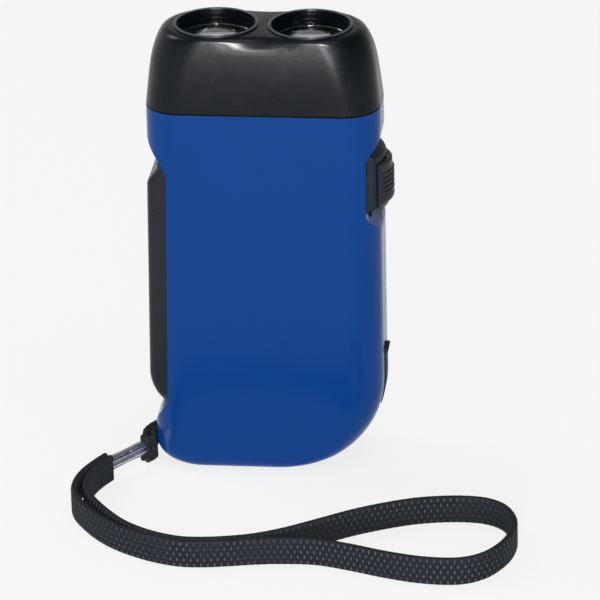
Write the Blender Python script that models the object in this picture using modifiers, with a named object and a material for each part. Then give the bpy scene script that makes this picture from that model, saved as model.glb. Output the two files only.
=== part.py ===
"""Hand-press dynamo flashlight, standing on its flat foot.

Metres, +Z up. The front of the case looks along -Y, and the press lever is on the -X side.
The origin is on the foot, in the plane where the two case halves meet.
"""

import math

import bmesh
import bpy
from mathutils import Matrix, Vector

# Case
CASE_WIDTH = 0.050
CASE_DEPTH = 0.023
CASE_MOUTH_SLIMMING = 0.0008
CASE_HEIGHT = 0.0831
CASE_CORNER = 0.0077
CASE_CROWN_HEIGHT = 0.040
CASE_WALL = 0.0017
FOOT_EDGE = 0.004
FOOT_CORNER_LEFT = 0.0055
FOOT_CORNER_RIGHT = 0.020
HALF_GAP = 0.0003
OVERRUN = 0.006

# Clearances
FIT = 0.0003
SIDE_PLAY = 0.0004
WELD = 0.000003

# Opening for the press lever, down the left side
RECESS_TOP_DROP = 0.0060
RECESS_BOTTOM = 0.0083
RECESS_DEPTH_TOP = 0.0047
RECESS_DEPTH_BOTTOM = 0.0034
RECESS_EASE_TOP = 0.0090
RECESS_EASE_BOTTOM = 0.0092
LEVER_SLOT_PLAY = 0.0008
LEVER_SLOT_BOTTOM = 0.0130
SLOT_FLANGE = 0.0058

# Shallow scallop for the switch, on the right side
SCALLOP_TOP_DROP = 0.0061
SCALLOP_BOTTOM_DROP = 0.0279
SCALLOP_DEPTH = 0.0029
SCALLOP_WALL = 0.0016
SCALLOP_EASE = 0.0052

# Head
HEAD_RISE = 0.0171
HEAD_DECK_DROP = 0.0004
HEAD_DECK_EDGE = 0.0010
HEAD_TOP_CORNER = 0.0094
HEAD_DRAFT_SHARE = 0.07
HEAD_TAPER_SHARE = 0.098
HEAD_TAPER_POWER = 5.35
HEAD_DEPTH_SHARE = 0.145
HEAD_DEPTH_POWER = 2.2
HEAD_WAIST_SHARE = 0.27
HEAD_WAIST_FROM_SHARE = 0.50
HEAD_WALL = 0.0032
HEAD_CAVITY_DROP = 0.0092
SPIGOT_DEPTH = 0.0038

# Lamp barrels
BARREL_SPACING = 0.0201
BARREL_RADIUS = 0.00904
BARREL_LIP_RADII = (0.00835, 0.00800, 0.00760)
BARREL_LIP_STEP = 0.0010
BARREL_BORE_RADIUS = 0.0082
LENS_THICKNESS = 0.0013
LENS_DOME_RADIUS = 0.0046
LENS_DOME_RISE = 0.0014
REFLECTOR_DEPTH = 0.0078
REFLECTOR_FLANGE = 0.0009
REFLECTOR_MOUTH_RADIUS = 0.0068
REFLECTOR_NECK_RADIUS = 0.0031
REFLECTOR_WALL = 0.0008
LED_RADIUS = 0.0025
LED_RIM_RADIUS = 0.0029
LED_RIM_THICKNESS = 0.0010
LED_LENGTH = 0.0070
LED_BOARD_THICKNESS = 0.0012
LED_BOARD_MARGIN = 0.00795
LED_BOARD_SIDE_PLAY = 0.0014

# Press lever
PIVOT_INSET = 0.0061
PIVOT_DROP = 0.0161
PIVOT_PIN_RADIUS = 0.0010
PIVOT_PIN_INSET = 0.0022
LEVER_HALF_DEPTH = 0.0080
LEVER_WALL = 0.0016
LEVER_NECK_INSET = 0.0022
LEVER_GRIP_FOOT_PROUD = 0.0008
LEVER_GRIP_TOP_DROP = 0.0176
LEVER_GRIP_FOOT_Z = 0.0220
LEVER_END_Z = 0.0135
LEVER_INNER_INSET = 0.0058
LEVER_EAR_RADIUS = 0.0052
LEVER_EAR_LENGTH = 0.0070
LEVER_TOP_RADIUS = 0.0022
LEVER_EDGE = 0.0006
LEVER_HUB_RADIUS = 0.00195

# Gears
PRESSURE_ANGLE = math.radians(25)
ADDENDUM_SHARE = 0.80
DEDENDUM_SHARE = 1.10
BACKLASH = 0.00015
COARSE_MODULE = 0.0008
FINE_MODULE = 0.0006
SECTOR_FULL_TEETH = 72
SECTOR_TEETH_BELOW = 2
SECTOR_TEETH_ABOVE = 6
SECTOR_THICKNESS = 0.0030
SECTOR_HUB_RADIUS = 0.0016
SECTOR_RIM = 0.0028
SECTOR_WINDOW_RADIUS = 0.0100
SECTOR_SPOKE = 0.0022
DRIVE_PINION_TEETH = 12
DRIVE_WHEEL_TEETH = 44
IDLER_PINION_TEETH = 10
IDLER_WHEEL_TEETH = 36
ROTOR_PINION_TEETH = 10
DRIVE_DIRECTION = math.radians(-60)
IDLER_DIRECTION = math.radians(-60)
ROTOR_DIRECTION = math.radians(-170)
DRIVE_PINION_SPAN = (-0.0022, 0.0030)
DRIVE_WHEEL_SPAN = (0.0026, 0.0046)
IDLER_PINION_SPAN = (-0.0003, 0.0058)
IDLER_WHEEL_SPAN = (0.0054, 0.0072)
ROTOR_PINION_SPAN = (0.0050, 0.0076)
WHEEL_HOLES = 5
WHEEL_HOLE_SHARE = 0.59
AXLE_RADIUS = 0.0010
AXLE_INSET = 0.0021
AXLE_BOSS_RADIUS = 0.0026
BOSS_PLAY = 0.0004
ROTOR_BOSS_PLAY = 0.0007
PIVOT_BOSS_RADIUS = 0.0030

# Dynamo
MAGNET_RADIUS = 0.0084
MAGNET_SPAN = (-0.0039, 0.0007)
ROTOR_HUB_RADIUS = 0.0036
CAN_RADIUS = 0.0096
CAN_WALL = 0.0007
CAN_FRONT_INSET = 0.0020
CAN_POLES = 8
CAN_POLE_SLOT = 0.0022
CAN_POLE_PLAY = 0.0001
BOBBIN_SEAT = 0.0002
BOBBIN_RADIUS = 0.0083
BOBBIN_BORE = 0.0029
BOBBIN_CORE = 0.0042
BOBBIN_CHEEK = 0.0007
WINDING_RADIUS = 0.0078

# Return spring on the lever's hub
SPRING_RADIUS = 0.00255
SPRING_WIRE_RADIUS = 0.00030
SPRING_TURNS = 4.25
SPRING_SPAN = (0.0021, 0.0056)
SPRING_POINTS = 8
SPRING_WEB_OFFSET = (-0.0037, -0.0085)
SPRING_BEND_OFFSET = (0.0042, 0.0027)
SPRING_CASE_OFFSET = (0.0076, 0.0047)

# Case screws
SCREW_BOSS_RADIUS = 0.0034
SCREW_RADIUS = 0.0010
SCREW_HEAD_RADIUS = 0.0022
SCREW_HEAD_HEIGHT = 0.0018
SCREW_TIP_INSET = 0.0049
SCREW_SEAT_INSET = 0.0040
SCREW_SOCKET_RADIUS = 0.0008
SCREW_SOCKET_DEPTH = 0.0009
SCREW_TOP_DROP = 0.0075
SCREW_TOP_INSETS = (0.0145, 0.0095)
SCREW_FOOT_INSETS = (0.0145, 0.0125)
SCREW_FOOT_RISES = (0.0062, 0.0076)

# Switch
BEZEL_TOP_DROP = 0.0106
BEZEL_BOTTOM_DROP = 0.0241
BEZEL_CROWN_PROUD = 0.0007
BEZEL_SIDE_INSET = 0.0014
BEZEL_BACK_INSET = 0.0044
BEZEL_HALF_DEPTH = 0.0065
BEZEL_RAMP = 0.0030
BEZEL_EDGE = 0.0009
BEZEL_SLOT_HALF_DEPTH = 0.0022
THUMB_TOP_DROP = 0.0126
THUMB_BOTTOM_DROP = 0.0231
THUMB_CROWN_PROUD = 0.0020
THUMB_SIDE_INSET = 0.0002
THUMB_HALF_DEPTH = 0.0056
THUMB_RIDGE_RISE = 0.0004
THUMB_LEVEL_SHARES = (
    (0.0, 0.15, 0.0),
    (0.06, 0.55, 0.10),
    (0.13, 0.95, 0.60),
    (0.20, 1.0, 1.0),
    (0.28, 1.0, 0.80),
    (0.37, 1.0, 0.35),
    (0.46, 1.0, 0.0),
    (1.0, 1.0, 0.0),
)
THUMB_STEM_HALF_DEPTH = 0.0016
THUMB_STEM_HALF_HEIGHT = 0.0022
SWITCH_TRAVEL = 0.0020
SWITCH_BODY_INSETS = (0.0106, 0.0058)
SWITCH_BODY_Y = (-0.0024, 0.0055)
SWITCH_BODY_DROPS = (0.0226, 0.0127)
SWITCH_KNOB_INSET = 0.0050

# Socket for a charging lead and its rubber cover
COVER_HINGE_Z = 0.0134
COVER_TOP_Z = 0.0262
COVER_THICKNESS = 0.0009
COVER_PROUD = 0.0003
COVER_HALF_DEPTH = 0.0022
COVER_LIP = 0.0005
COVER_LIP_HEIGHT = 0.0012
COVER_PLUG_HALF_DEPTH = 0.0016
COVER_PLUG_Z = (0.0178, 0.0222)
COVER_PLUG_LENGTH = 0.0019
SOCKET_INSETS = (0.0082, 0.00225)
SOCKET_HALF_DEPTH = 0.0034
SOCKET_MARGIN = 0.0010
SOCKET_BORE_RADIUS = 0.0014

# Electronics
CELL_RADIUS = 0.0077
CELL_THICKNESS = 0.0048
CELL_LIP = 0.0010
CELL_COUNT = 3
CELL_PLACE_INSET = 0.0190
CELL_PLACE_DROP = 0.0177
BOARD_WIDTH = 0.0276
BOARD_SIDE_INSET = 0.0054
BOARD_DROPS = (0.0286, 0.0112)
BOARD_THICKNESS = 0.0012
BOARD_PLAY = 0.0004
RECTIFIER_WIDTH = 0.0048
RECTIFIER_HEIGHT = 0.0070
RECTIFIER_THICKNESS = 0.0014
RECTIFIER_MARGINS = (0.0004, 0.0035)
LEAD_MARGIN = 0.0040
LEAD_PITCH = 0.0030
LEAD_RADIUS = 0.0005
LEAD_STRAIGHT = 0.0015

# Wrist strap
POST_INSET = 0.0045
POST_RADIUS = 0.0011
POST_FOOT = 0.0012
POST_SEAT = 0.0012
POCKET_DEPTH = 0.0080
POCKET_HALF_DEPTH = 0.0036
POCKET_BOTTOM = 0.0020
POCKET_TOP = 0.0077
POCKET_WALL = 0.0014
STRAP_WIDTH = 0.0060
STRAP_THICKNESS = 0.0011
STRAP_LIFT = 0.0002
STRAP_SAMPLES = 72
CRIMP_START = (-0.0278, -0.0082, 0.0037)
CRIMP_END = (-0.0339, -0.0165, 0.0037)
CRIMP_HEIGHT = 0.0032
CRIMP_THICKNESS = 0.0024
CRIMP_EDGE = 0.0007
CRIMP_CREASE = 0.0004
CRIMP_CREASE_HALF_WIDTH = 0.0006
CRIMP_MOUTH_FLARE = 0.0002
TAB_THICKNESS = 0.0010
TAB_WIDTH = 0.0048
TAB_CRIMPED_WIDTH = 0.0058
TAB_CRIMPED_Z = 0.0032
STRAP_ROUTE = (
    (-0.03464, -0.01652),
    (-0.03660, -0.02030),
    (-0.03825, -0.02430),
    (-0.03915, -0.02850),
    (-0.03915, -0.03280),
    (-0.03800, -0.03700),
    (-0.03560, -0.04120),
    (-0.03240, -0.04560),
    (-0.02860, -0.04940),
    (-0.02440, -0.05240),
    (-0.01940, -0.05500),
    (-0.01400, -0.05670),
    (-0.00890, -0.05680),
    (-0.00360, -0.05600),
    (0.00180, -0.05490),
    (0.00740, -0.05420),
    (0.01490, -0.05420),
    (0.02230, -0.05630),
    (0.03000, -0.05910),
    (0.03770, -0.06100),
    (0.04510, -0.06100),
    (0.05000, -0.05830),
    (0.05340, -0.05340),
    (0.05530, -0.04760),
    (0.05540, -0.04160),
    (0.05320, -0.03620),
    (0.04960, -0.03330),
    (0.04500, -0.03240),
    (0.03940, -0.03280),
    (0.03360, -0.03420),
    (0.02760, -0.03680),
    (0.02120, -0.04040),
    (0.01440, -0.04520),
    (0.00740, -0.05000),
    (0.00160, -0.05290),
    (-0.00370, -0.05440),
    (-0.00890, -0.05520),
    (-0.01370, -0.05510),
    (-0.01860, -0.05350),
    (-0.02260, -0.05130),
    (-0.02640, -0.04830),
    (-0.02980, -0.04440),
    (-0.03280, -0.04020),
    (-0.03530, -0.03600),
    (-0.03670, -0.03200),
    (-0.03690, -0.02800),
    (-0.03620, -0.02400),
    (-0.03490, -0.02040),
    (-0.03344, -0.01745),
)
TAB_WRAP_PLAY = 0.00035
TAB_PLY_OFFSET = 0.00070
TAB_LEAD = 0.0010
TAB_GAP = 0.0006
TAB_ROUTE_IN = (
    (-0.02600, -0.00550, 0.35),
    (-0.02600, -0.00380, 0.75),
    (-0.02540, -0.00250, 1.0),
    (-0.02400, -0.00205, 1.0),
    (-0.02220, -0.00195, 1.0),
)
TAB_ROUTE_OUT = (
    (-0.02300, 0.00180, 1.0),
    (-0.02500, 0.00080, 1.0),
    (-0.02660, -0.00120, 0.75),
    (-0.02750, -0.00360, 0.35),
)

# Facets
CORNER_STEPS = 6
FRONT_STEPS = 10
EDGE_STEPS = 5
HEAD_LEVELS = 7
CAVITY_LEVELS = 3
TURN_STEPS = 36
INNER_TURN_STEPS = 24
SMALL_TURN_STEPS = 12
ROD_SIDES = 16
HOLE_SIDES = 10
BOSS_SIDES = 18
CURVE_STEPS = 8
FLANK_STEPS = 1

# Places that follow from the sizes above
SIDE_X = CASE_WIDTH / 2
FACE_Y = CASE_DEPTH / 2
CASE_MOUTH_DEPTH = CASE_DEPTH - CASE_MOUTH_SLIMMING
MOUTH_Y = CASE_MOUTH_DEPTH / 2
RECESS_TOP = CASE_HEIGHT - RECESS_TOP_DROP
SCALLOP_TOP = CASE_HEIGHT - SCALLOP_TOP_DROP
SCALLOP_BOTTOM = CASE_HEIGHT - SCALLOP_BOTTOM_DROP
SCALLOP_FLOOR_X = SIDE_X - SCALLOP_DEPTH
HEAD_TOP = CASE_HEIGHT + HEAD_RISE
HEAD_DECK = HEAD_TOP - HEAD_DECK_DROP
HEAD_CAVITY_TOP = HEAD_TOP - HEAD_CAVITY_DROP
DRIVE_DISTANCE = COARSE_MODULE * (SECTOR_FULL_TEETH + DRIVE_PINION_TEETH) / 2
IDLER_DISTANCE = FINE_MODULE * (DRIVE_WHEEL_TEETH + IDLER_PINION_TEETH) / 2
ROTOR_DISTANCE = FINE_MODULE * (IDLER_WHEEL_TEETH + ROTOR_PINION_TEETH) / 2
PIVOT = (PIVOT_INSET - SIDE_X, CASE_HEIGHT - PIVOT_DROP)
PIVOT_PIN_LENGTH = CASE_DEPTH - 2 * PIVOT_PIN_INSET
LEVER_NECK_X = LEVER_NECK_INSET - SIDE_X
LEVER_GRIP_TOP_X = -SIDE_X
LEVER_GRIP_FOOT_X = -SIDE_X - LEVER_GRIP_FOOT_PROUD
LEVER_INNER_X = LEVER_INNER_INSET - SIDE_X
LEVER_TOP = PIVOT[1] + LEVER_EAR_RADIUS
LEVER_SLOT_TOP = LEVER_TOP + LEVER_SLOT_PLAY
LEVER_NECK_Z = LEVER_TOP - LEVER_TOP_RADIUS - FIT
LEVER_GRIP_TOP_Z = CASE_HEIGHT - LEVER_GRIP_TOP_DROP
AXLE_HALF_LENGTH = FACE_Y - AXLE_INSET
CAN_SPAN = (CAN_FRONT_INSET - FACE_Y, MAGNET_SPAN[1] + FIT)
BOBBIN_SPAN = (CAN_SPAN[0] + CAN_WALL + BOBBIN_SEAT, MAGNET_SPAN[0] - BOSS_PLAY)
SCREW_TIP = SCREW_TIP_INSET - FACE_Y
SCREW_SEAT = FACE_Y - SCREW_SEAT_INSET
SCREW_PLACES = (
    (SCREW_TOP_INSETS[0] - SIDE_X, CASE_HEIGHT - SCREW_TOP_DROP),
    (SIDE_X - SCREW_TOP_INSETS[1], CASE_HEIGHT - SCREW_TOP_DROP),
    (SCREW_FOOT_INSETS[0] - SIDE_X, SCREW_FOOT_RISES[0]),
    (SIDE_X - SCREW_FOOT_INSETS[1], SCREW_FOOT_RISES[1]),
)
BEZEL_TOP = CASE_HEIGHT - BEZEL_TOP_DROP
BEZEL_BOTTOM = CASE_HEIGHT - BEZEL_BOTTOM_DROP
BEZEL_BACK_X = SIDE_X - BEZEL_BACK_INSET
THUMB_TOP = CASE_HEIGHT - THUMB_TOP_DROP
THUMB_BOTTOM = CASE_HEIGHT - THUMB_BOTTOM_DROP
SWITCH_BODY_X = (SIDE_X - SWITCH_BODY_INSETS[0], SIDE_X - SWITCH_BODY_INSETS[1])
SWITCH_BODY_Z = (CASE_HEIGHT - SWITCH_BODY_DROPS[0], CASE_HEIGHT - SWITCH_BODY_DROPS[1])
SWITCH_KNOB_X = SIDE_X - SWITCH_KNOB_INSET
SOCKET_X = (SIDE_X - SOCKET_INSETS[0], SIDE_X - SOCKET_INSETS[1])
SOCKET_Z = (COVER_PLUG_Z[0] - SOCKET_MARGIN, COVER_PLUG_Z[1] + SOCKET_MARGIN)
CELL_FRONT_Y = CASE_WALL - MOUTH_Y
CELL_CENTRE = (SIDE_X - CELL_PLACE_INSET, CASE_HEIGHT - CELL_PLACE_DROP)
CELL_STACK_REAR = CELL_FRONT_Y + CELL_COUNT * (CELL_THICKNESS + FIT) - FIT
BOARD_X = (SIDE_X - BOARD_SIDE_INSET - BOARD_WIDTH, SIDE_X - BOARD_SIDE_INSET)
BOARD_Y = (CELL_STACK_REAR + BOARD_PLAY, CELL_STACK_REAR + BOARD_PLAY + BOARD_THICKNESS)
BOARD_Z = (CASE_HEIGHT - BOARD_DROPS[0], CASE_HEIGHT - BOARD_DROPS[1])
LED_BOARD_WIDTH = BARREL_SPACING + 2 * LED_BOARD_MARGIN
LED_BOARD_DEPTH = CASE_MOUTH_DEPTH - 2 * (HEAD_WALL + LED_BOARD_SIDE_PLAY)
LENS_TOP = HEAD_TOP - BARREL_LIP_STEP * len(BARREL_LIP_RADII)
LENS_BOTTOM = LENS_TOP - LENS_THICKNESS
REFLECTOR_TOP = LENS_BOTTOM - FIT
REFLECTOR_BOTTOM = REFLECTOR_TOP - REFLECTOR_DEPTH
LED_BOTTOM = REFLECTOR_BOTTOM - LED_RIM_THICKNESS - FIT
LED_BOARD_TOP = LED_BOTTOM - FIT
POST_X = POST_INSET - SIDE_X
POST_TOP = POCKET_TOP + POST_SEAT


def step_to(centre, distance, direction):
    """Return the place at a distance from a centre, in the plane of the case halves."""
    return (centre[0] + distance * math.cos(direction), centre[1] + distance * math.sin(direction))


DRIVE_AXIS = step_to(PIVOT, DRIVE_DISTANCE, DRIVE_DIRECTION)
IDLER_AXIS = step_to(DRIVE_AXIS, IDLER_DISTANCE, IDLER_DIRECTION)
ROTOR_AXIS = step_to(IDLER_AXIS, ROTOR_DISTANCE, ROTOR_DIRECTION)


def clear_scene():
    """Remove every object of the scene that is open."""
    for item in list(bpy.data.objects):
        bpy.data.objects.remove(item, do_unlink=True)


def make_collection(name):
    """Return a new collection under the scene's own."""
    collection = bpy.data.collections.new(name)
    bpy.context.scene.collection.children.link(collection)
    return collection


clear_scene()
PARTS = make_collection("press_dynamo_flashlight")
CUTTERS = make_collection("cutters")


def make_material(name, colour, roughness, metallic=0.0):
    """Return a Principled material of one colour."""
    material = bpy.data.materials.new(name)
    material.use_nodes = True
    shader = material.node_tree.nodes["Principled BSDF"]
    shader.inputs["Base Color"].default_value = (*colour, 1.0)
    shader.inputs["Roughness"].default_value = roughness
    shader.inputs["Metallic"].default_value = metallic
    return material


BLUE_PLASTIC = make_material("blue_case_plastic", (0.008, 0.060, 0.270), 0.28)
BLACK_PLASTIC = make_material("black_head_plastic", (0.022, 0.026, 0.032), 0.36)
LEVER_PLASTIC = make_material("black_lever_plastic", (0.030, 0.035, 0.042), 0.40)
SWITCH_PLASTIC = make_material("black_switch_plastic", (0.028, 0.036, 0.044), 0.45)
BLACK_RUBBER = make_material("black_rubber", (0.020, 0.022, 0.024), 0.70)
GEAR_BRASS = make_material("gear_brass", (0.66, 0.47, 0.19), 0.30, 1.0)
COIL_PLASTIC = make_material("white_coil_plastic", (0.75, 0.74, 0.70), 0.45)
STEEL = make_material("bright_steel", (0.62, 0.62, 0.64), 0.25, 1.0)
SPRING_STEEL = make_material("spring_steel", (0.45, 0.45, 0.48), 0.30, 1.0)
MAGNET_GREY = make_material("ferrite_magnet", (0.06, 0.06, 0.065), 0.55)
COPPER = make_material("copper_winding", (0.60, 0.25, 0.10), 0.35, 1.0)
BOARD_GREEN = make_material("board_green", (0.03, 0.20, 0.08), 0.45)
CLEAR_PLASTIC = make_material("clear_lens_plastic", (0.85, 0.87, 0.90), 0.05)
MIRROR = make_material("bright_reflector", (0.80, 0.81, 0.83), 0.10, 1.0)
CRIMP_METAL = make_material("bright_crimp", (0.60, 0.62, 0.64), 0.22, 1.0)
STRAP_CLOTH = make_material("black_strap_cloth", (0.030, 0.034, 0.038), 0.85)


def link_object(name, data, material=None, cutter=False):
    """Link a new object for a mesh or curve to the parts, or to the cutters as a wire guide."""
    item = bpy.data.objects.new(name, data)
    if cutter:
        CUTTERS.objects.link(item)
        item.hide_render = True
        item.display_type = "WIRE"
    else:
        PARTS.objects.link(item)
    if material is not None:
        data.materials.append(material)
    return item


def smooth_round(item, angle=math.radians(32)):
    """Shade a piece smooth and keep its creases sharp."""
    item.data.shade_smooth()
    item.data.set_sharp_from_angle(angle=angle)


def mesh_object(name, shape, material=None, cutter=False):
    """Write a bmesh to a new object with its faces pointing out."""
    bmesh.ops.recalc_face_normals(shape, faces=shape.faces)
    mesh = bpy.data.meshes.new(name)
    shape.to_mesh(mesh)
    shape.free()
    item = link_object(name, mesh, material, cutter)
    smooth_round(item)
    return item


def curve_to_mesh(curve_item, name, material=None, cutter=False):
    """Make a mesh object from a curve object, weld its caps and remove the curve."""
    bpy.context.view_layer.update()
    graph = bpy.context.evaluated_depsgraph_get()
    mesh = bpy.data.meshes.new_from_object(curve_item.evaluated_get(graph))
    mesh.transform(curve_item.matrix_world)
    bpy.data.objects.remove(curve_item, do_unlink=True)
    shape = bmesh.new()
    shape.from_mesh(mesh)
    bpy.data.meshes.remove(mesh)
    bmesh.ops.remove_doubles(shape, verts=shape.verts, dist=WELD)
    return mesh_object(name, shape, material, cutter)


def box(name, low, high, material=None, cutter=False, edge=0.0):
    """Make a box between two corners, with round edges if asked."""
    size = Vector(high) - Vector(low)
    middle = (Vector(high) + Vector(low)) / 2
    shape = bmesh.new()
    bmesh.ops.create_cube(shape, size=1.0)
    bmesh.ops.scale(shape, vec=size, verts=shape.verts)
    bmesh.ops.translate(shape, vec=middle, verts=shape.verts)
    item = mesh_object(name, shape, material, cutter)
    if edge:
        round_edges(item, edge)
    return item


def round_edges(item, width, segments=2):
    """Round a piece's sharp edges with a Bevel modifier."""
    bevel = item.modifiers.new("round_edges", "BEVEL")
    bevel.width = width
    bevel.segments = segments
    bevel.limit_method = "ANGLE"
    bevel.angle_limit = math.radians(40)
    return bevel


def rod(name, start, end, radius, material=None, cutter=False, sides=ROD_SIDES, end_radius=None):
    """Make a round rod, or a cone, from one place to another."""
    start = Vector(start)
    span = Vector(end) - start
    shape = bmesh.new()
    bmesh.ops.create_cone(
        shape,
        cap_ends=True,
        segments=sides,
        radius1=radius,
        radius2=radius if end_radius is None else end_radius,
        depth=span.length,
    )
    turn = span.to_track_quat("Z", "Y").to_matrix().to_4x4()
    place = Matrix.Translation(start + span / 2) @ turn
    bmesh.ops.transform(shape, matrix=place, verts=shape.verts)
    return mesh_object(name, shape, material, cutter)


def depth_rod(name, place, span, radius, material=None, cutter=False, sides=ROD_SIDES):
    """Make a rod that runs along Y at a place in the plane of the case halves."""
    start = (place[0], span[0], place[1])
    end = (place[0], span[1], place[1])
    return rod(name, start, end, radius, material, cutter, sides)


def turned(name, profile, centre, axis, material=None, cutter=False, steps=TURN_STEPS):
    """Turn a closed profile of (radius, height) points about an axis through a centre."""
    shape = bmesh.new()
    corners = [shape.verts.new((radius, 0, height)) for radius, height in profile]
    for index, corner in enumerate(corners):
        after = (index + 1) % len(corners)
        if profile[index][0] or profile[after][0]:
            shape.edges.new((corner, corners[after]))
    bmesh.ops.spin(
        shape,
        geom=shape.verts[:] + shape.edges[:],
        cent=(0, 0, 0),
        axis=(0, 0, 1),
        angle=2 * math.pi,
        steps=steps,
        use_merge=True,
    )
    bmesh.ops.remove_doubles(shape, verts=shape.verts, dist=WELD)
    turn = Vector(axis).to_track_quat("Z", "Y").to_matrix().to_4x4()
    bmesh.ops.transform(shape, matrix=Matrix.Translation(centre) @ turn, verts=shape.verts)
    return mesh_object(name, shape, material, cutter)


def depth_turned(name, profile, place, material=None, cutter=False, steps=TURN_STEPS):
    """Turn a profile of (radius, depth along Y) points about an axis along Y."""
    return turned(name, profile, (place[0], 0, place[1]), (0, 1, 0), material, cutter, steps)


def prism(name, outlines, span, material=None, cutter=False, edge=0.0):
    """Raise flat outlines in X and Z along Y; an outline inside another is a hole."""
    curve = bpy.data.curves.new(name, "CURVE")
    curve.dimensions = "2D"
    curve.fill_mode = "BOTH"
    curve.extrude = (span[1] - span[0]) / 2 - edge
    curve.bevel_depth = edge
    curve.bevel_resolution = 1
    curve.offset = -edge
    for outline in outlines:
        spline = curve.splines.new("POLY")
        spline.points.add(len(outline) - 1)
        for point, (x, z) in zip(spline.points, outline):
            point.co = (x, z, 0, 1)
        spline.use_cyclic_u = True
    item = link_object(name + "_outline", curve, None, cutter)
    item.rotation_euler = (math.pi / 2, 0, 0)
    item.location = (0, (span[0] + span[1]) / 2, 0)
    return curve_to_mesh(item, name, material, cutter)


def combine(item, other, operation):
    """Cut, join or cross a piece with another through a Boolean modifier."""
    change = item.modifiers.new(operation.lower(), "BOOLEAN")
    change.operation = operation
    change.solver = "EXACT"
    change.object = other
    return item


def cut(item, *others):
    """Cut other shapes out of a piece."""
    for other in others:
        combine(item, other, "DIFFERENCE")
    return item


def join(item, *others):
    """Join other shapes to a piece."""
    for other in others:
        combine(item, other, "UNION")
    return item


def ease(share):
    """Return a share that leaves 0 and reaches 1 without a kink."""
    return share * share * (3 - 2 * share)


def arc(centre, radius, start, end, steps):
    """Return points along an arc in the plane of the case halves."""
    return [
        step_to(centre, radius, start + (end - start) * index / steps) for index in range(steps + 1)
    ]


def round_ring(centre_x, half_width, half_depth, corner, height, waist_share, front_steps):
    """Return a level ring: a rectangle with round corners, drawn in at its middle by a waist."""
    corner = min(corner, half_depth, half_width)
    ring = []
    for quarter in range(4):
        side_x = (1, -1, -1, 1)[quarter]
        side_y = (1, 1, -1, -1)[quarter]
        middle_x = side_x * (half_width - corner)
        middle_y = side_y * (half_depth - corner)
        for index in range(CORNER_STEPS + 1):
            angle = math.pi / 2 * (quarter + index / CORNER_STEPS)
            ring.append((middle_x + corner * math.cos(angle), middle_y + corner * math.sin(angle)))
        if quarter in (0, 2):
            for index in range(1, front_steps):
                ring.append((middle_x * (1 - 2 * index / front_steps), side_y * half_depth))
    reach = BARREL_SPACING / 2
    points = []
    for x, y in ring:
        bump = (1 + math.cos(math.pi * x / reach)) / 2 if abs(x) < reach else 0
        points.append((centre_x + x, y * (1 - waist_share * bump), height))
    return points


def loft(name, rings, material=None, cutter=False):
    """Skin a stack of rings that have the same number of points, and close both ends."""
    shape = bmesh.new()
    levels = [[shape.verts.new(point) for point in ring] for ring in rings]
    for lower, upper in zip(levels, levels[1:]):
        for index in range(len(lower)):
            after = (index + 1) % len(lower)
            shape.faces.new((lower[index], lower[after], upper[after], upper[index]))
    shape.faces.new(list(reversed(levels[0])))
    shape.faces.new(levels[-1])
    return mesh_object(name, shape, material, cutter)


def drop(height, radius):
    """Return how far a round foot edge has drawn in at a height above its lowest level."""
    if height >= radius:
        return 0
    return radius - math.sqrt(max(radius * radius - (radius - height) ** 2, 0))


def case_half_depth(height):
    """Return half the case's outer depth, which slims a little towards its mouth."""
    rise = max(height - CASE_CROWN_HEIGHT, 0) / (CASE_HEIGHT - CASE_CROWN_HEIGHT)
    return FACE_Y - CASE_MOUTH_SLIMMING / 2 * min(rise, 1) ** 2


def case_ring(height, inset):
    """Return the case's outline at a height, moved in by an inset."""
    above = height - inset
    left = SIDE_X - inset - drop(above, FOOT_CORNER_LEFT - inset)
    right = SIDE_X - inset - drop(above, FOOT_CORNER_RIGHT - inset)
    half_depth = case_half_depth(height) - inset - drop(above, FOOT_EDGE - inset)
    middle = (right - left) / 2
    corner = CASE_CORNER - inset
    return round_ring(middle, (right + left) / 2, half_depth, corner, height, 0, 1)


def case_levels(inset, top):
    """Return the heights at which the case's outline is taken, close together in its round foot."""
    heights = {inset, top}
    for radius in (FOOT_EDGE, FOOT_CORNER_LEFT, FOOT_CORNER_RIGHT):
        for index in range(1, EDGE_STEPS + 1):
            swing = math.pi / 2 * index / EDGE_STEPS
            heights.add(round(inset + (radius - inset) * (1 - math.cos(swing)), 6))
    for index in range(EDGE_STEPS):
        heights.add(CASE_CROWN_HEIGHT + (CASE_HEIGHT - CASE_CROWN_HEIGHT) * index / EDGE_STEPS)
    levels = []
    for height in sorted(heights):
        if not levels or height - levels[-1] > FIT:
            levels.append(height)
    return levels


def case_block(name, inset, top, material=None, cutter=False):
    """Make the case's closed outer form, or its inner space when it is inset by the wall."""
    rings = [case_ring(height, inset) for height in case_levels(inset, top)]
    return loft(name, rings, material, cutter)


def bite_outline(side, top, bottom, depth_top, depth_bottom, ease_top, ease_bottom):
    """Return the outline of a cut that eases in from one side of the case and out again."""
    outline = [(side * (SIDE_X + OVERRUN), top), (side * SIDE_X, top)]
    for index in range(1, CURVE_STEPS + 1):
        share = index / CURVE_STEPS
        outline.append((side * (SIDE_X - depth_top * ease(share)), top - ease_top * share))
    for index in range(CURVE_STEPS, 0, -1):
        share = index / CURVE_STEPS
        outline.append((side * (SIDE_X - depth_bottom * ease(share)), bottom + ease_bottom * share))
    outline += [(side * SIDE_X, bottom), (side * (SIDE_X + OVERRUN), bottom)]
    return outline


def full_depth():
    """Return a span along Y that runs past both faces of the case."""
    return (-FACE_Y - OVERRUN, FACE_Y + OVERRUN)


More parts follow.
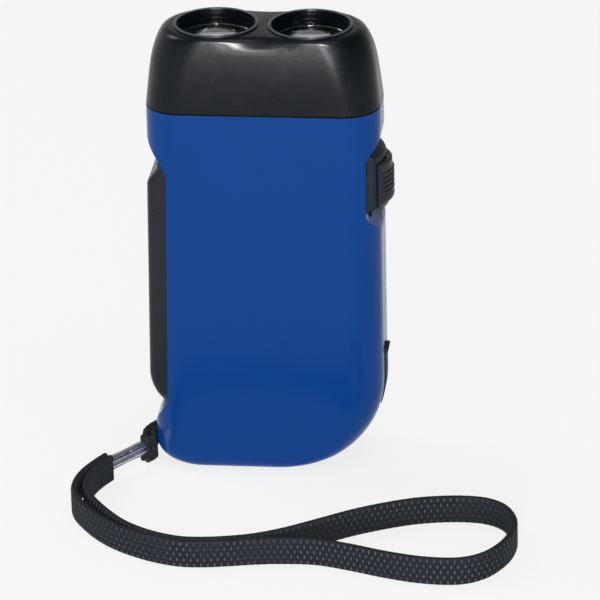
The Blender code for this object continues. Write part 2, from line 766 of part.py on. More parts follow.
def boss_spans():
    """Return each axle's place and how far its front and rear bosses reach inwards."""
    return (
        ("drive", DRIVE_AXIS, DRIVE_PINION_SPAN[0] - BOSS_PLAY, DRIVE_WHEEL_SPAN[1] + BOSS_PLAY),
        ("idler", IDLER_AXIS, IDLER_PINION_SPAN[0] - BOSS_PLAY, IDLER_WHEEL_SPAN[1] + BOSS_PLAY),
        ("rotor", ROTOR_AXIS, MAGNET_SPAN[0] - ROTOR_BOSS_PLAY, ROTOR_PINION_SPAN[1] + BOSS_PLAY),
    )


def case_space():
    """Make the case's inner space, with its bosses, side flanges and strap block left solid."""
    space = case_block("case_space", CASE_WALL, CASE_HEIGHT + OVERRUN, None, True)
    low_y, high_y = full_depth()
    flange = box(
        "slot_flange",
        (-SIDE_X, low_y, RECESS_BOTTOM + CASE_WALL),
        (-SIDE_X + SLOT_FLANGE, high_y, RECESS_TOP + FIT),
        None,
        True,
    )
    switch_flange = box(
        "switch_flange",
        (SCALLOP_FLOOR_X - SCALLOP_WALL, low_y, SCALLOP_BOTTOM),
        (SIDE_X, high_y, SCALLOP_TOP),
        None,
        True,
    )
    block_reach = POCKET_HALF_DEPTH + POCKET_WALL
    strap_block = box(
        "strap_block",
        (-SIDE_X, -block_reach, 0),
        (POCKET_DEPTH + POCKET_WALL - SIDE_X, block_reach, POST_TOP + FIT + POCKET_WALL / 2),
        None,
        True,
    )
    cut(space, flange, switch_flange, strap_block)
    for number, place in enumerate(SCREW_PLACES):
        boss = depth_rod(
            f"screw_boss_{number}", place, full_depth(), SCREW_BOSS_RADIUS, None, True, BOSS_SIDES
        )
        cut(space, boss)
    for name, place, front, rear in boss_spans():
        for end, span in (("front", (low_y, front)), ("rear", (rear, high_y))):
            boss = depth_rod(
                f"{name}_boss_{end}", place, span, AXLE_BOSS_RADIUS, None, True, BOSS_SIDES
            )
            cut(space, boss)
    reach = LEVER_HALF_DEPTH + SIDE_PLAY
    for end, span in (("front", (low_y, -reach)), ("rear", (reach, high_y))):
        boss = depth_rod(f"pivot_boss_{end}", PIVOT, span, PIVOT_BOSS_RADIUS, None, True, BOSS_SIDES)
        cut(space, boss)
    return space


def case_cutters():
    """Make the cuts that both case halves share."""
    low_y, high_y = full_depth()
    recess = bite_outline(
        -1,
        RECESS_TOP,
        RECESS_BOTTOM,
        RECESS_DEPTH_TOP,
        RECESS_DEPTH_BOTTOM,
        RECESS_EASE_TOP,
        RECESS_EASE_BOTTOM,
    )
    scallop = bite_outline(
        1, SCALLOP_TOP, SCALLOP_BOTTOM, SCALLOP_DEPTH, SCALLOP_DEPTH, SCALLOP_EASE, SCALLOP_EASE
    )
    slot_reach = LEVER_HALF_DEPTH + SIDE_PLAY
    cutters = [
        prism("lever_recess", [recess], (low_y, high_y), None, True),
        prism("switch_scallop", [scallop], (low_y, high_y), None, True),
        box(
            "lever_slot",
            (-SIDE_X - OVERRUN, -slot_reach, LEVER_SLOT_BOTTOM),
            (-SIDE_X + SLOT_FLANGE + FIT, slot_reach, LEVER_SLOT_TOP),
            None,
            True,
        ),
        box(
            "bezel_window",
            (BEZEL_BACK_X - FIT, -BEZEL_HALF_DEPTH - FIT, BEZEL_BOTTOM - FIT),
            (SIDE_X + OVERRUN, BEZEL_HALF_DEPTH + FIT, BEZEL_TOP + FIT),
            None,
            True,
        ),
        box(
            "cover_window",
            (SIDE_X - CASE_WALL - OVERRUN / 2, -COVER_PLUG_HALF_DEPTH - FIT, COVER_PLUG_Z[0] - SIDE_PLAY),
            (SIDE_X + OVERRUN, COVER_PLUG_HALF_DEPTH + FIT, COVER_PLUG_Z[1] + SIDE_PLAY),
            None,
            True,
        ),
        cover_bed(),
        box(
            "strap_pocket",
            (-SIDE_X - OVERRUN, -POCKET_HALF_DEPTH, POCKET_BOTTOM),
            (-SIDE_X + POCKET_DEPTH, POCKET_HALF_DEPTH, POCKET_TOP),
            None,
            True,
        ),
        rod(
            "post_bore",
            (POST_X, 0, POST_FOOT - FIT),
            (POST_X, 0, POST_TOP + FIT),
            POST_RADIUS + FIT,
            None,
            True,
        ),
    ]
    bore_reach = AXLE_HALF_LENGTH + FIT
    for name, place, _, _ in boss_spans():
        bore = depth_rod(f"{name}_bore", place, (-bore_reach, bore_reach), AXLE_RADIUS + FIT, None, True)
        cutters.append(bore)
    pin_reach = PIVOT_PIN_LENGTH / 2 + FIT
    cutters.append(
        depth_rod("pivot_bore", PIVOT, (-pin_reach, pin_reach), PIVOT_PIN_RADIUS + FIT, None, True)
    )
    for number, place in enumerate(SCREW_PLACES):
        hole_span = (SCREW_TIP - FIT, SCREW_SEAT + FIT)
        cutters.append(
            depth_rod(f"screw_hole_{number}", place, hole_span, SCREW_RADIUS + FIT, None, True)
        )
        well_span = (SCREW_SEAT, FACE_Y + OVERRUN)
        well_radius = SCREW_HEAD_RADIUS + FIT
        cutters.append(
            depth_rod(f"screw_well_{number}", place, well_span, well_radius, None, True, BOSS_SIDES)
        )
    return cutters


def make_case():
    """Make the front and rear case halves, which meet on a narrow parting gap."""
    space = case_space()
    cutters = case_cutters()
    low_y, high_y = full_depth()
    reach_x = SIDE_X + OVERRUN
    top = CASE_HEIGHT + OVERRUN
    spans = {"front_shell": (low_y, -HALF_GAP / 2), "rear_shell": (HALF_GAP / 2, high_y)}
    for name, span in spans.items():
        shell = case_block(name, 0, CASE_HEIGHT, BLUE_PLASTIC)
        half = box(name + "_half", (-reach_x, span[0], -OVERRUN), (reach_x, span[1], top), None, True)
        combine(shell, half, "INTERSECT")
        cut(shell, space, *cutters)


def head_ring(height, inset, edge=0.0, front_steps=FRONT_STEPS):
    """Return the head's outline at a height: a round rectangle that grows two lobes as it rises."""
    rise = (height - CASE_HEIGHT) / (HEAD_TOP - CASE_HEIGHT)
    rise = min(max(rise, 0), 1)
    taper = HEAD_DRAFT_SHARE * rise + HEAD_TAPER_SHARE * rise**HEAD_TAPER_POWER
    half_width = SIDE_X * (1 - taper) - inset - edge
    half_depth = MOUTH_Y * (1 - HEAD_DEPTH_SHARE * rise**HEAD_DEPTH_POWER) - inset - edge
    corner = CASE_CORNER + (HEAD_TOP_CORNER - CASE_CORNER) * rise - inset - edge
    lobe = ease(max(rise - HEAD_WAIST_FROM_SHARE, 0) / (1 - HEAD_WAIST_FROM_SHARE))
    waist = HEAD_WAIST_SHARE * lobe
    return round_ring(0, half_width, half_depth, corner, height, waist, front_steps)


def head_outer():
    """Return the rings of the head's outside, from its seat on the case to its round deck edge."""
    seat = CASE_HEIGHT + HALF_GAP
    shoulder = HEAD_DECK - HEAD_DECK_EDGE
    rings = [
        head_ring(seat + (shoulder - seat) * index / HEAD_LEVELS, 0)
        for index in range(HEAD_LEVELS + 1)
    ]
    for index in range(1, CAVITY_LEVELS + 1):
        swing = math.pi / 2 * index / CAVITY_LEVELS
        height = shoulder + HEAD_DECK_EDGE * math.sin(swing)
        rings.append(head_ring(height, 0, HEAD_DECK_EDGE * (1 - math.cos(swing))))
    return rings


def barrel_centres():
    """Return the names and middles of the two lamp barrels."""
    return (("left", -BARREL_SPACING / 2), ("right", BARREL_SPACING / 2))


def barrel_bore_profile():
    """Return the barrel's bore: stepped lips above the lens, a plain bore below it."""
    profile = [(0, HEAD_TOP + OVERRUN), (BARREL_LIP_RADII[0], HEAD_TOP + OVERRUN)]
    level = HEAD_TOP
    for index, radius in enumerate(BARREL_LIP_RADII):
        if index:
            profile.append((radius, level))
        level -= BARREL_LIP_STEP
        profile.append((radius, level))
    profile += [
        (BARREL_BORE_RADIUS, LENS_TOP),
        (BARREL_BORE_RADIUS, HEAD_CAVITY_TOP - FIT),
        (0, HEAD_CAVITY_TOP - FIT),
    ]
    return profile


def make_head():
    """Make the head cap, with its spigot, cavity and two raised lamp barrels."""
    head = loft("head_cap", head_outer(), BLACK_PLASTIC)
    spigot_inset = CASE_WALL + FIT
    spigot_foot = CASE_HEIGHT - SPIGOT_DEPTH
    spigot_top = CASE_HEIGHT + HEAD_DECK_EDGE
    heights = (spigot_foot, spigot_top)
    spigot = loft("head_spigot", [head_ring(z, spigot_inset) for z in heights], None, True)
    join(head, spigot)
    for name, middle in barrel_centres():
        foot = (middle, 0, HEAD_CAVITY_TOP + HEAD_DECK_EDGE)
        tube = rod(f"barrel_{name}", foot, (middle, 0, HEAD_TOP), BARREL_RADIUS, None, True, TURN_STEPS)
        join(head, tube)
    foot = spigot_foot - OVERRUN
    levels = [foot] + [
        spigot_foot + (HEAD_CAVITY_TOP - spigot_foot) * index / CAVITY_LEVELS
        for index in range(CAVITY_LEVELS + 1)
    ]
    cavity = loft("head_cavity", [head_ring(z, HEAD_WALL) for z in levels], None, True)
    cut(head, cavity)
    for name, middle in barrel_centres():
        bore = turned(f"barrel_bore_{name}", barrel_bore_profile(), (middle, 0, 0), (0, 0, 1), None, True)
        cut(head, bore)


def dome(radius, foot, rise):
    """Return the profile of a dome from its rim to the axis."""
    points = []
    for index in range(EDGE_STEPS):
        swing = math.pi / 2 * index / EDGE_STEPS
        points.append((radius * math.cos(swing), foot + rise * math.sin(swing)))
    return points + [(0, foot + rise)]


def make_lamps():
    """Make the lens, reflector and lamp of each barrel."""
    fit_radius = BARREL_BORE_RADIUS - FIT
    lens_profile = [(0, LENS_BOTTOM), (fit_radius, LENS_BOTTOM), (fit_radius, LENS_TOP - FIT)]
    lens_profile += dome(LENS_DOME_RADIUS, LENS_TOP - FIT, LENS_DOME_RISE)
    flange_foot = REFLECTOR_TOP - REFLECTOR_FLANGE
    inner = []
    outer = []
    for index in range(EDGE_STEPS + 1):
        share = index / EDGE_STEPS
        radius = REFLECTOR_MOUTH_RADIUS - (REFLECTOR_MOUTH_RADIUS - REFLECTOR_NECK_RADIUS) * share**2
        height = REFLECTOR_TOP - REFLECTOR_DEPTH * share
        inner.append((radius, height))
        outer.append((radius + REFLECTOR_WALL, min(height, flange_foot)))
    reflector_profile = inner + outer[::-1] + [(fit_radius, flange_foot), (fit_radius, REFLECTOR_TOP)]
    cap_centre = LED_BOTTOM + LED_LENGTH - LED_RADIUS
    led_profile = [
        (0, LED_BOTTOM),
        (LED_RIM_RADIUS, LED_BOTTOM),
        (LED_RIM_RADIUS, LED_BOTTOM + LED_RIM_THICKNESS),
        (LED_RADIUS, LED_BOTTOM + LED_RIM_THICKNESS),
    ]
    led_profile += dome(LED_RADIUS, cap_centre, LED_RADIUS)
    for name, middle in barrel_centres():
        centre = (middle, 0, 0)
        up = (0, 0, 1)
        turned(f"lens_{name}", lens_profile, centre, up, CLEAR_PLASTIC)
        turned(f"reflector_{name}", reflector_profile, centre, up, MIRROR, steps=INNER_TURN_STEPS)
        turned(f"led_{name}", led_profile, centre, up, CLEAR_PLASTIC, steps=SMALL_TURN_STEPS)


def lever_outer(inset):
    """Return the lever's outer side from top to bottom, moved in by an inset."""
    outline = []
    for index in range(CURVE_STEPS + 1):
        share = index / CURVE_STEPS
        height = LEVER_NECK_Z + (LEVER_GRIP_TOP_Z - LEVER_NECK_Z) * share
        x = LEVER_NECK_X + (LEVER_GRIP_TOP_X - LEVER_NECK_X) * ease(share)
        outline.append((x + inset, height))
    half_width = LEVER_INNER_X - LEVER_GRIP_FOOT_X - inset
    half_height = LEVER_GRIP_FOOT_Z - LEVER_END_Z - inset
    for index in range(CURVE_STEPS + 1):
        swing = math.pi / 2 * index / CURVE_STEPS
        x = LEVER_INNER_X - half_width * math.cos(swing)
        outline.append((x, LEVER_GRIP_FOOT_Z - half_height * math.sin(swing)))
    return outline


def lever_outline():
    """Return the lever's whole side outline, with the ear round the pivot."""
    ear = arc(PIVOT, LEVER_EAR_RADIUS, math.radians(-80), math.radians(75), CURVE_STEPS)
    corner = (LEVER_NECK_X + LEVER_TOP_RADIUS, LEVER_TOP - LEVER_TOP_RADIUS)
    top = [(PIVOT[0], LEVER_TOP)] + arc(corner, LEVER_TOP_RADIUS, math.pi / 2, math.pi, EDGE_STEPS)
    return lever_outer(0) + [(LEVER_INNER_X, PIVOT[1] - LEVER_EAR_LENGTH)] + ear + top


def channel_outline():
    """Return the outline of the space inside the lever, open towards the case."""
    far_x = PIVOT[0] + LEVER_EAR_RADIUS + OVERRUN
    side = lever_outer(LEVER_WALL)
    roof = LEVER_TOP - LEVER_WALL
    return [(side[0][0], roof)] + side + [(far_x, side[-1][1]), (far_x, roof)]


def tooth_side(module, teeth, steps):
    """Return one side of a gear tooth as (radius, half angle) pairs, from its root to its tip."""
    pitch = module * teeth / 2
    base = pitch * math.cos(PRESSURE_ANGLE)
    tip = pitch + ADDENDUM_SHARE * module
    root = pitch - DEDENDUM_SHARE * module
    half_tooth = math.pi / (2 * teeth) - BACKLASH / (4 * pitch)
    spread = half_tooth + math.tan(PRESSURE_ANGLE) - PRESSURE_ANGLE
    start = max(base, root)
    side = [(root, spread)] if root < base else []
    for index in range(steps + 1):
        radius = start + (tip - start) * index / steps
        angle = math.acos(min(base / radius, 1))
        side.append((radius, spread - math.tan(angle) + angle))
    return side


def gear_outline(centre, module, teeth, phase, steps=FLANK_STEPS, numbers=None):
    """Return a gear's outline, or that of some of its teeth, with a tooth at the phase angle."""
    side = tooth_side(module, teeth, steps)
    outline = []
    for number in range(teeth) if numbers is None else numbers:
        middle = phase + 2 * math.pi * number / teeth
        outline += [step_to(centre, radius, middle - angle) for radius, angle in side]
        outline += [step_to(centre, radius, middle + angle) for radius, angle in reversed(side)]
    return outline


def root_radius(module, teeth):
    """Return the radius at the bottom of a gear's teeth."""
    return module * teeth / 2 - DEDENDUM_SHARE * module


def meshed_phase(direction, teeth):
    """Return the phase that puts a gap of the second gear opposite a tooth of the first."""
    return direction + math.pi + math.pi / teeth


def sector_outlines():
    """Return the lever's toothed sector and the window in it."""
    tooth = 2 * math.pi / SECTOR_FULL_TEETH
    numbers = range(-SECTOR_TEETH_BELOW, SECTOR_TEETH_ABOVE + 1)
    teeth = gear_outline(PIVOT, COARSE_MODULE, SECTOR_FULL_TEETH, DRIVE_DIRECTION, 1, numbers)
    first = DRIVE_DIRECTION - tooth * (SECTOR_TEETH_BELOW + 1)
    last = DRIVE_DIRECTION + tooth * (SECTOR_TEETH_ABOVE + 1)
    root = root_radius(COARSE_MODULE, SECTOR_FULL_TEETH)
    outline = [step_to(PIVOT, SECTOR_HUB_RADIUS, first), step_to(PIVOT, root, first)]
    outline += teeth + [step_to(PIVOT, root, last), step_to(PIVOT, SECTOR_HUB_RADIUS, last)]
    rim = root - SECTOR_RIM
    ends = []
    for radius in (SECTOR_WINDOW_RADIUS, rim):
        spoke = SECTOR_SPOKE / radius
        ends.append((radius, first + spoke, last - spoke))
    window = arc(PIVOT, ends[0][0], ends[0][1], ends[0][2], 4)
    window += arc(PIVOT, ends[1][0], ends[1][2], ends[1][1], 6)
    return [outline, window]


def make_lever():
    """Make the press lever with its hub and toothed sector, the pin it turns on and its spring."""
    half = LEVER_HALF_DEPTH
    lever = prism("lever", [lever_outline()], (-half, half), LEVER_PLASTIC, edge=LEVER_EDGE)
    inner = half - LEVER_WALL
    cut(lever, prism("lever_channel", [channel_outline()], (-inner, inner), None, True))
    hub_reach = inner + LEVER_WALL / 2
    join(lever, depth_rod("lever_hub", PIVOT, (-hub_reach, hub_reach), LEVER_HUB_RADIUS, None, True))
    sector_span = (-SECTOR_THICKNESS / 2, SECTOR_THICKNESS / 2)
    join(lever, prism("lever_sector", sector_outlines(), sector_span, None, True))
    reach = half + OVERRUN
    cut(lever, depth_rod("lever_bore", PIVOT, (-reach, reach), PIVOT_PIN_RADIUS + FIT, None, True))
    pin_half = PIVOT_PIN_LENGTH / 2
    depth_rod("lever_pin", PIVOT, (-pin_half, pin_half), PIVOT_PIN_RADIUS, STEEL)


def make_spring():
    """Make the torsion spring round the lever's hub, with a leg to each side."""
    low, high = SPRING_SPAN
    points = [(PIVOT[0] + SPRING_WEB_OFFSET[0], low, PIVOT[1] + SPRING_WEB_OFFSET[1])]
    count = int(SPRING_TURNS * SPRING_POINTS)
    for index in range(count + 1):
        share = index / count
        x, z = step_to(PIVOT, SPRING_RADIUS, math.pi - 2 * math.pi * SPRING_TURNS * share)
        points.append((x, low + (high - low) * share, z))
    for x, z in (SPRING_BEND_OFFSET, SPRING_CASE_OFFSET):
        points.append((PIVOT[0] + x, high, PIVOT[1] + z))
    tube("lever_spring", points, SPRING_WIRE_RADIUS, SPRING_STEEL, 0)


def tube(name, points, radius, material, resolution=2):
    """Make a round wire or tube along points."""
    curve = bpy.data.curves.new(name, "CURVE")
    curve.dimensions = "3D"
    curve.bevel_depth = radius
    curve.bevel_resolution = resolution
    curve.use_fill_caps = True
    spline = curve.splines.new("POLY")
    spline.points.add(len(points) - 1)
    for point, place in zip(spline.points, points):
        point.co = (*place, 1)
    return curve_to_mesh(link_object(name + "_line", curve), name, material)


def wheel_holes(centre, module, teeth, phase):
    """Return the round lightening holes of a wheel."""
    root = root_radius(module, teeth)
    ring = (root + AXLE_BOSS_RADIUS) / 2
    radius = (root - AXLE_BOSS_RADIUS) / 2 * WHEEL_HOLE_SHARE
    last = 2 * math.pi * (HOLE_SIDES - 1) / HOLE_SIDES
    holes = []
    for number in range(WHEEL_HOLES):
        middle = step_to(centre, ring, phase + 2 * math.pi * number / WHEEL_HOLES)
        holes.append(arc(middle, radius, 0, last, HOLE_SIDES - 1))
    return holes


def compound_gear(name, centre, pinion, wheel):
    """Make a wheel and a pinion in one piece, bored for their axle."""
    module, teeth, phase, span = wheel
    outlines = [gear_outline(centre, module, teeth, phase)] + wheel_holes(centre, module, teeth, phase)
    gear = prism(name, outlines, span, GEAR_BRASS)
    module, teeth, phase, pinion_span = pinion
    outline = gear_outline(centre, module, teeth, phase)
    join(gear, prism(name + "_pinion", [outline], pinion_span, None, True))
    cut(gear, depth_rod(name + "_bore", centre, full_depth(), AXLE_RADIUS + FIT, None, True))


def make_gears():
    """Make the drive and idler gears and the axles that they turn on."""
    drive_phase = meshed_phase(DRIVE_DIRECTION, DRIVE_PINION_TEETH)
    compound_gear(
        "drive_gear",
        DRIVE_AXIS,
        (COARSE_MODULE, DRIVE_PINION_TEETH, drive_phase, DRIVE_PINION_SPAN),
        (FINE_MODULE, DRIVE_WHEEL_TEETH, IDLER_DIRECTION, DRIVE_WHEEL_SPAN),
    )
    idler_phase = meshed_phase(IDLER_DIRECTION, IDLER_PINION_TEETH)
    compound_gear(
        "idler_gear",
        IDLER_AXIS,
        (FINE_MODULE, IDLER_PINION_TEETH, idler_phase, IDLER_PINION_SPAN),
        (FINE_MODULE, IDLER_WHEEL_TEETH, ROTOR_DIRECTION, IDLER_WHEEL_SPAN),
    )
    reach = AXLE_HALF_LENGTH
    depth_rod("drive_axle", DRIVE_AXIS, (-reach, reach), AXLE_RADIUS, STEEL)
    depth_rod("idler_axle", IDLER_AXIS, (-reach, reach), AXLE_RADIUS, STEEL)


def make_rotor():
    """Make the dynamo's turning parts: shaft, pinion, hub and ring magnet."""
    reach = AXLE_HALF_LENGTH
    depth_rod("rotor_shaft", ROTOR_AXIS, (-reach, reach), AXLE_RADIUS, STEEL)
    phase = meshed_phase(ROTOR_DIRECTION, ROTOR_PINION_TEETH)
    outline = gear_outline(ROTOR_AXIS, FINE_MODULE, ROTOR_PINION_TEETH, phase)
    pinion = prism("rotor_pinion", [outline], ROTOR_PINION_SPAN, GEAR_BRASS)
    cut(pinion, depth_rod("rotor_pinion_bore", ROTOR_AXIS, full_depth(), AXLE_RADIUS + FIT, None, True))
    bore = AXLE_RADIUS + FIT
    front, rear = MAGNET_SPAN
    hub_rear = ROTOR_PINION_SPAN[0] - FIT
    hub_profile = [
        (bore, front),
        (ROTOR_HUB_RADIUS, front),
        (ROTOR_HUB_RADIUS, rear),
        (AXLE_BOSS_RADIUS, rear),
        (AXLE_BOSS_RADIUS, hub_rear),
        (bore, hub_rear),
    ]
    depth_turned("rotor_hub", hub_profile, ROTOR_AXIS, COIL_PLASTIC, steps=INNER_TURN_STEPS)
    inner = ROTOR_HUB_RADIUS + FIT
    magnet_profile = [(inner, front), (MAGNET_RADIUS, front), (MAGNET_RADIUS, rear), (inner, rear)]
    depth_turned("rotor_magnet", magnet_profile, ROTOR_AXIS, MAGNET_GREY)


def make_stator():
    """Make the dynamo's fixed parts: pole can, bobbin and winding."""
    front, rear = CAN_SPAN
    inner = CAN_RADIUS - CAN_WALL
    hole = BOBBIN_BORE + FIT
    can_profile = [
        (hole, front),
        (CAN_RADIUS, front),
        (CAN_RADIUS, rear),
        (inner, rear),
        (inner, front + CAN_WALL),
        (hole, front + CAN_WALL),
    ]
    can = depth_turned("pole_can", can_profile, ROTOR_AXIS, STEEL)
    root = MAGNET_SPAN[0] - CAN_POLE_PLAY
    for number in range(CAN_POLES // 2):
        turn = Matrix.Rotation(math.pi * number / (CAN_POLES // 2), 4, "Y")
        half = CAN_POLE_SLOT / 2
        reach = CAN_RADIUS + OVERRUN
        slot = box(
            f"pole_slot_{number}", (-reach, root, -half), (reach, rear + OVERRUN, half), None, True
        )
        slot.data.transform(Matrix.Translation((ROTOR_AXIS[0], 0, ROTOR_AXIS[1])) @ turn)
        cut(can, slot)
    front, rear = BOBBIN_SPAN
    bobbin_profile = [
        (BOBBIN_BORE, front),
        (BOBBIN_RADIUS, front),
        (BOBBIN_RADIUS, front + BOBBIN_CHEEK),
        (BOBBIN_CORE, front + BOBBIN_CHEEK),
        (BOBBIN_CORE, rear - BOBBIN_CHEEK),
        (BOBBIN_RADIUS, rear - BOBBIN_CHEEK),
        (BOBBIN_RADIUS, rear),
        (BOBBIN_BORE, rear),
    ]
    depth_turned("coil_bobbin", bobbin_profile, ROTOR_AXIS, COIL_PLASTIC, steps=INNER_TURN_STEPS)
    low = front + BOBBIN_CHEEK + FIT
    high = rear - BOBBIN_CHEEK - FIT
    core = BOBBIN_CORE + FIT
    winding_profile = [(core, low), (WINDING_RADIUS, low), (WINDING_RADIUS, high), (core, high)]
    depth_turned("coil_winding", winding_profile, ROTOR_AXIS, COPPER, steps=INNER_TURN_STEPS)


def make_screws():
    """Make the four case screws with their driver sockets."""
    head_top = SCREW_SEAT + FIT + SCREW_HEAD_HEIGHT
    profile = [
        (0, SCREW_TIP),
        (SCREW_RADIUS, SCREW_TIP + SCREW_RADIUS),
        (SCREW_RADIUS, SCREW_SEAT + FIT),
        (SCREW_HEAD_RADIUS, SCREW_SEAT + FIT),
        (SCREW_HEAD_RADIUS, head_top),
        (SCREW_SOCKET_RADIUS, head_top),
        (SCREW_SOCKET_RADIUS, head_top - SCREW_SOCKET_DEPTH),
        (0, head_top - SCREW_SOCKET_DEPTH),
    ]
    for number, place in enumerate(SCREW_PLACES):
        depth_turned(f"case_screw_{number + 1}", profile, place, STEEL, steps=SMALL_TURN_STEPS)


def arched_ring(back, crown, side, half_depth, height):
    """Return a level ring with a face that arches from its two sides up to a crown."""
    ring = [(back, -half_depth, height)]
    for index in range(CURVE_STEPS + 1):
        share = 2 * index / CURVE_STEPS - 1
        ring.append((crown + (side - crown) * share * share, share * half_depth, height))
    ring.append((back, half_depth, height))
    return ring


def make_bezel():
    """Make the switch bezel: an arched surround that ramps up from the scallop's floor."""
    crown = SIDE_X + BEZEL_CROWN_PROUD
    side = SIDE_X - BEZEL_SIDE_INSET
    levels = []
    for index in range(EDGE_STEPS + 1):
        share = index / EDGE_STEPS
        levels.append((BEZEL_BOTTOM + BEZEL_RAMP * share, ease(share)))
    for index in range(EDGE_STEPS + 1):
        swing = math.pi / 2 * index / EDGE_STEPS
        sunk = BEZEL_EDGE * (1 - math.cos(swing)) / (crown - SCALLOP_FLOOR_X)
        levels.append((BEZEL_TOP - BEZEL_EDGE * (1 - math.sin(swing)), 1 - sunk))
    rings = []
    for height, share in levels:
        face = SCALLOP_FLOOR_X + (crown - SCALLOP_FLOOR_X) * share
        edge = SCALLOP_FLOOR_X + (side - SCALLOP_FLOOR_X) * share
        rings.append(arched_ring(BEZEL_BACK_X, face, edge, BEZEL_HALF_DEPTH, height))
    return loft("switch_bezel", rings, SWITCH_PLASTIC)


def thumb_rings():
    """Return the levels of the thumb piece, which lies over the arched bezel."""
    crown = SIDE_X + THUMB_CROWN_PROUD
    side = SIDE_X - THUMB_SIDE_INSET
    seat_crown = SIDE_X + BEZEL_CROWN_PROUD + FIT
    reach = (THUMB_HALF_DEPTH / BEZEL_HALF_DEPTH) ** 2
    seat_side = seat_crown - (BEZEL_CROWN_PROUD + BEZEL_SIDE_INSET) * reach
    rings = []
    for share, full, ridge in THUMB_LEVEL_SHARES:
        height = THUMB_BOTTOM + (THUMB_TOP - THUMB_BOTTOM) * share
        lift = THUMB_RIDGE_RISE * ridge
        face = seat_crown + (crown - seat_crown) * full + lift
        edge = seat_side + (side - seat_side) * full + lift
        front = arched_ring(seat_side, face, edge, THUMB_HALF_DEPTH, height)[1:-1]
        back = arched_ring(seat_side, seat_crown, seat_side, THUMB_HALF_DEPTH, height)[1:-1]
        rings.append(front + back[::-1])
    return rings


def make_switch():
    """Make the switch bezel, its sliding thumb piece and the slide switch behind them."""
    stem_reach = THUMB_STEM_HALF_HEIGHT + FIT
    middle_z = (THUMB_TOP + THUMB_BOTTOM) / 2
    slot = box(
        "bezel_slot",
        (BEZEL_BACK_X - OVERRUN, -BEZEL_SLOT_HALF_DEPTH, middle_z - stem_reach),
        (SIDE_X + OVERRUN, BEZEL_SLOT_HALF_DEPTH, middle_z + stem_reach + SWITCH_TRAVEL),
        None,
        True,
    )
    cut(make_bezel(), slot)
    thumb = loft("switch_thumb", thumb_rings(), SWITCH_PLASTIC)
    low_z = middle_z - THUMB_STEM_HALF_HEIGHT
    high_z = middle_z + THUMB_STEM_HALF_HEIGHT
    stem = box(
        "thumb_stem",
        (SWITCH_KNOB_X + FIT, -THUMB_STEM_HALF_DEPTH, low_z),
        (SIDE_X + BEZEL_CROWN_PROUD + 2 * FIT, THUMB_STEM_HALF_DEPTH, high_z),
        None,
        True,
    )
    join(thumb, stem)
    switch = box(
        "slide_switch",
        (SWITCH_BODY_X[0], SWITCH_BODY_Y[0], SWITCH_BODY_Z[0]),
        (SWITCH_BODY_X[1], SWITCH_BODY_Y[1], SWITCH_BODY_Z[1]),
        STEEL,
    )
    knob = box(
        "switch_knob",
        (SWITCH_BODY_X[1] - FIT, -THUMB_STEM_HALF_DEPTH, low_z),
        (SWITCH_KNOB_X, THUMB_STEM_HALF_DEPTH, high_z),
        None,
        True,
    )
    join(switch, knob)


def cover_outline(lift, thickness, slack, lip):
    """Return a side outline that follows the case's side and round corner at a lift from it."""
    centre = (SIDE_X - FOOT_CORNER_RIGHT, FOOT_CORNER_RIGHT)
    low = math.asin((COVER_HINGE_Z - slack - FOOT_CORNER_RIGHT) / FOOT_CORNER_RIGHT)
    inner = []
    outer = []
    for index in range(CURVE_STEPS + 1):
        angle = low * (1 - index / CURVE_STEPS)
        inner.append(step_to(centre, FOOT_CORNER_RIGHT + lift, angle))
        outer.append(step_to(centre, FOOT_CORNER_RIGHT + lift + thickness, angle))
    top = COVER_TOP_Z + slack
    face = SIDE_X + lift + thickness
    inner.append((SIDE_X + lift, top))
    outer += [(face, top - COVER_LIP_HEIGHT), (face + lip, top - COVER_LIP), (face + lip, top)]
    return inner + outer[::-1]


def cover_bed():
    """Make the cut for the shallow bed in the case's side that the rubber cover lies in."""
    lift = COVER_PROUD - COVER_THICKNESS - FIT
    outline = cover_outline(lift, OVERRUN, FIT, COVER_LIP)
    half = COVER_HALF_DEPTH + FIT
    return prism("cover_bed", [outline], (-half, half), None, True)


def make_socket():
    """Make the charging socket and the hinged rubber cover over it."""
    half = COVER_HALF_DEPTH
    outline = cover_outline(COVER_PROUD - COVER_THICKNESS, COVER_THICKNESS, 0, COVER_LIP)
    cover = prism("port_cover", [outline], (-half, half), BLACK_RUBBER)
    plug = box(
        "cover_plug",
        (SIDE_X - COVER_PLUG_LENGTH, -COVER_PLUG_HALF_DEPTH, COVER_PLUG_Z[0]),
        (SIDE_X + COVER_PROUD - COVER_THICKNESS / 2, COVER_PLUG_HALF_DEPTH, COVER_PLUG_Z[1]),
        None,
        True,
    )
    join(cover, plug)
    socket = box(
        "charge_socket",
        (SOCKET_X[0], -SOCKET_HALF_DEPTH, SOCKET_Z[0]),
        (SOCKET_X[1], SOCKET_HALF_DEPTH, SOCKET_Z[1]),
        BLACK_PLASTIC,
    )
    middle_z = (COVER_PLUG_Z[0] + COVER_PLUG_Z[1]) / 2
    mouth = (SOCKET_X[1] + OVERRUN, 0, middle_z)
    throat = ((SOCKET_X[0] + SOCKET_X[1]) / 2, 0, middle_z)
    cut(socket, rod("socket_bore", throat, mouth, SOCKET_BORE_RADIUS, None, True))


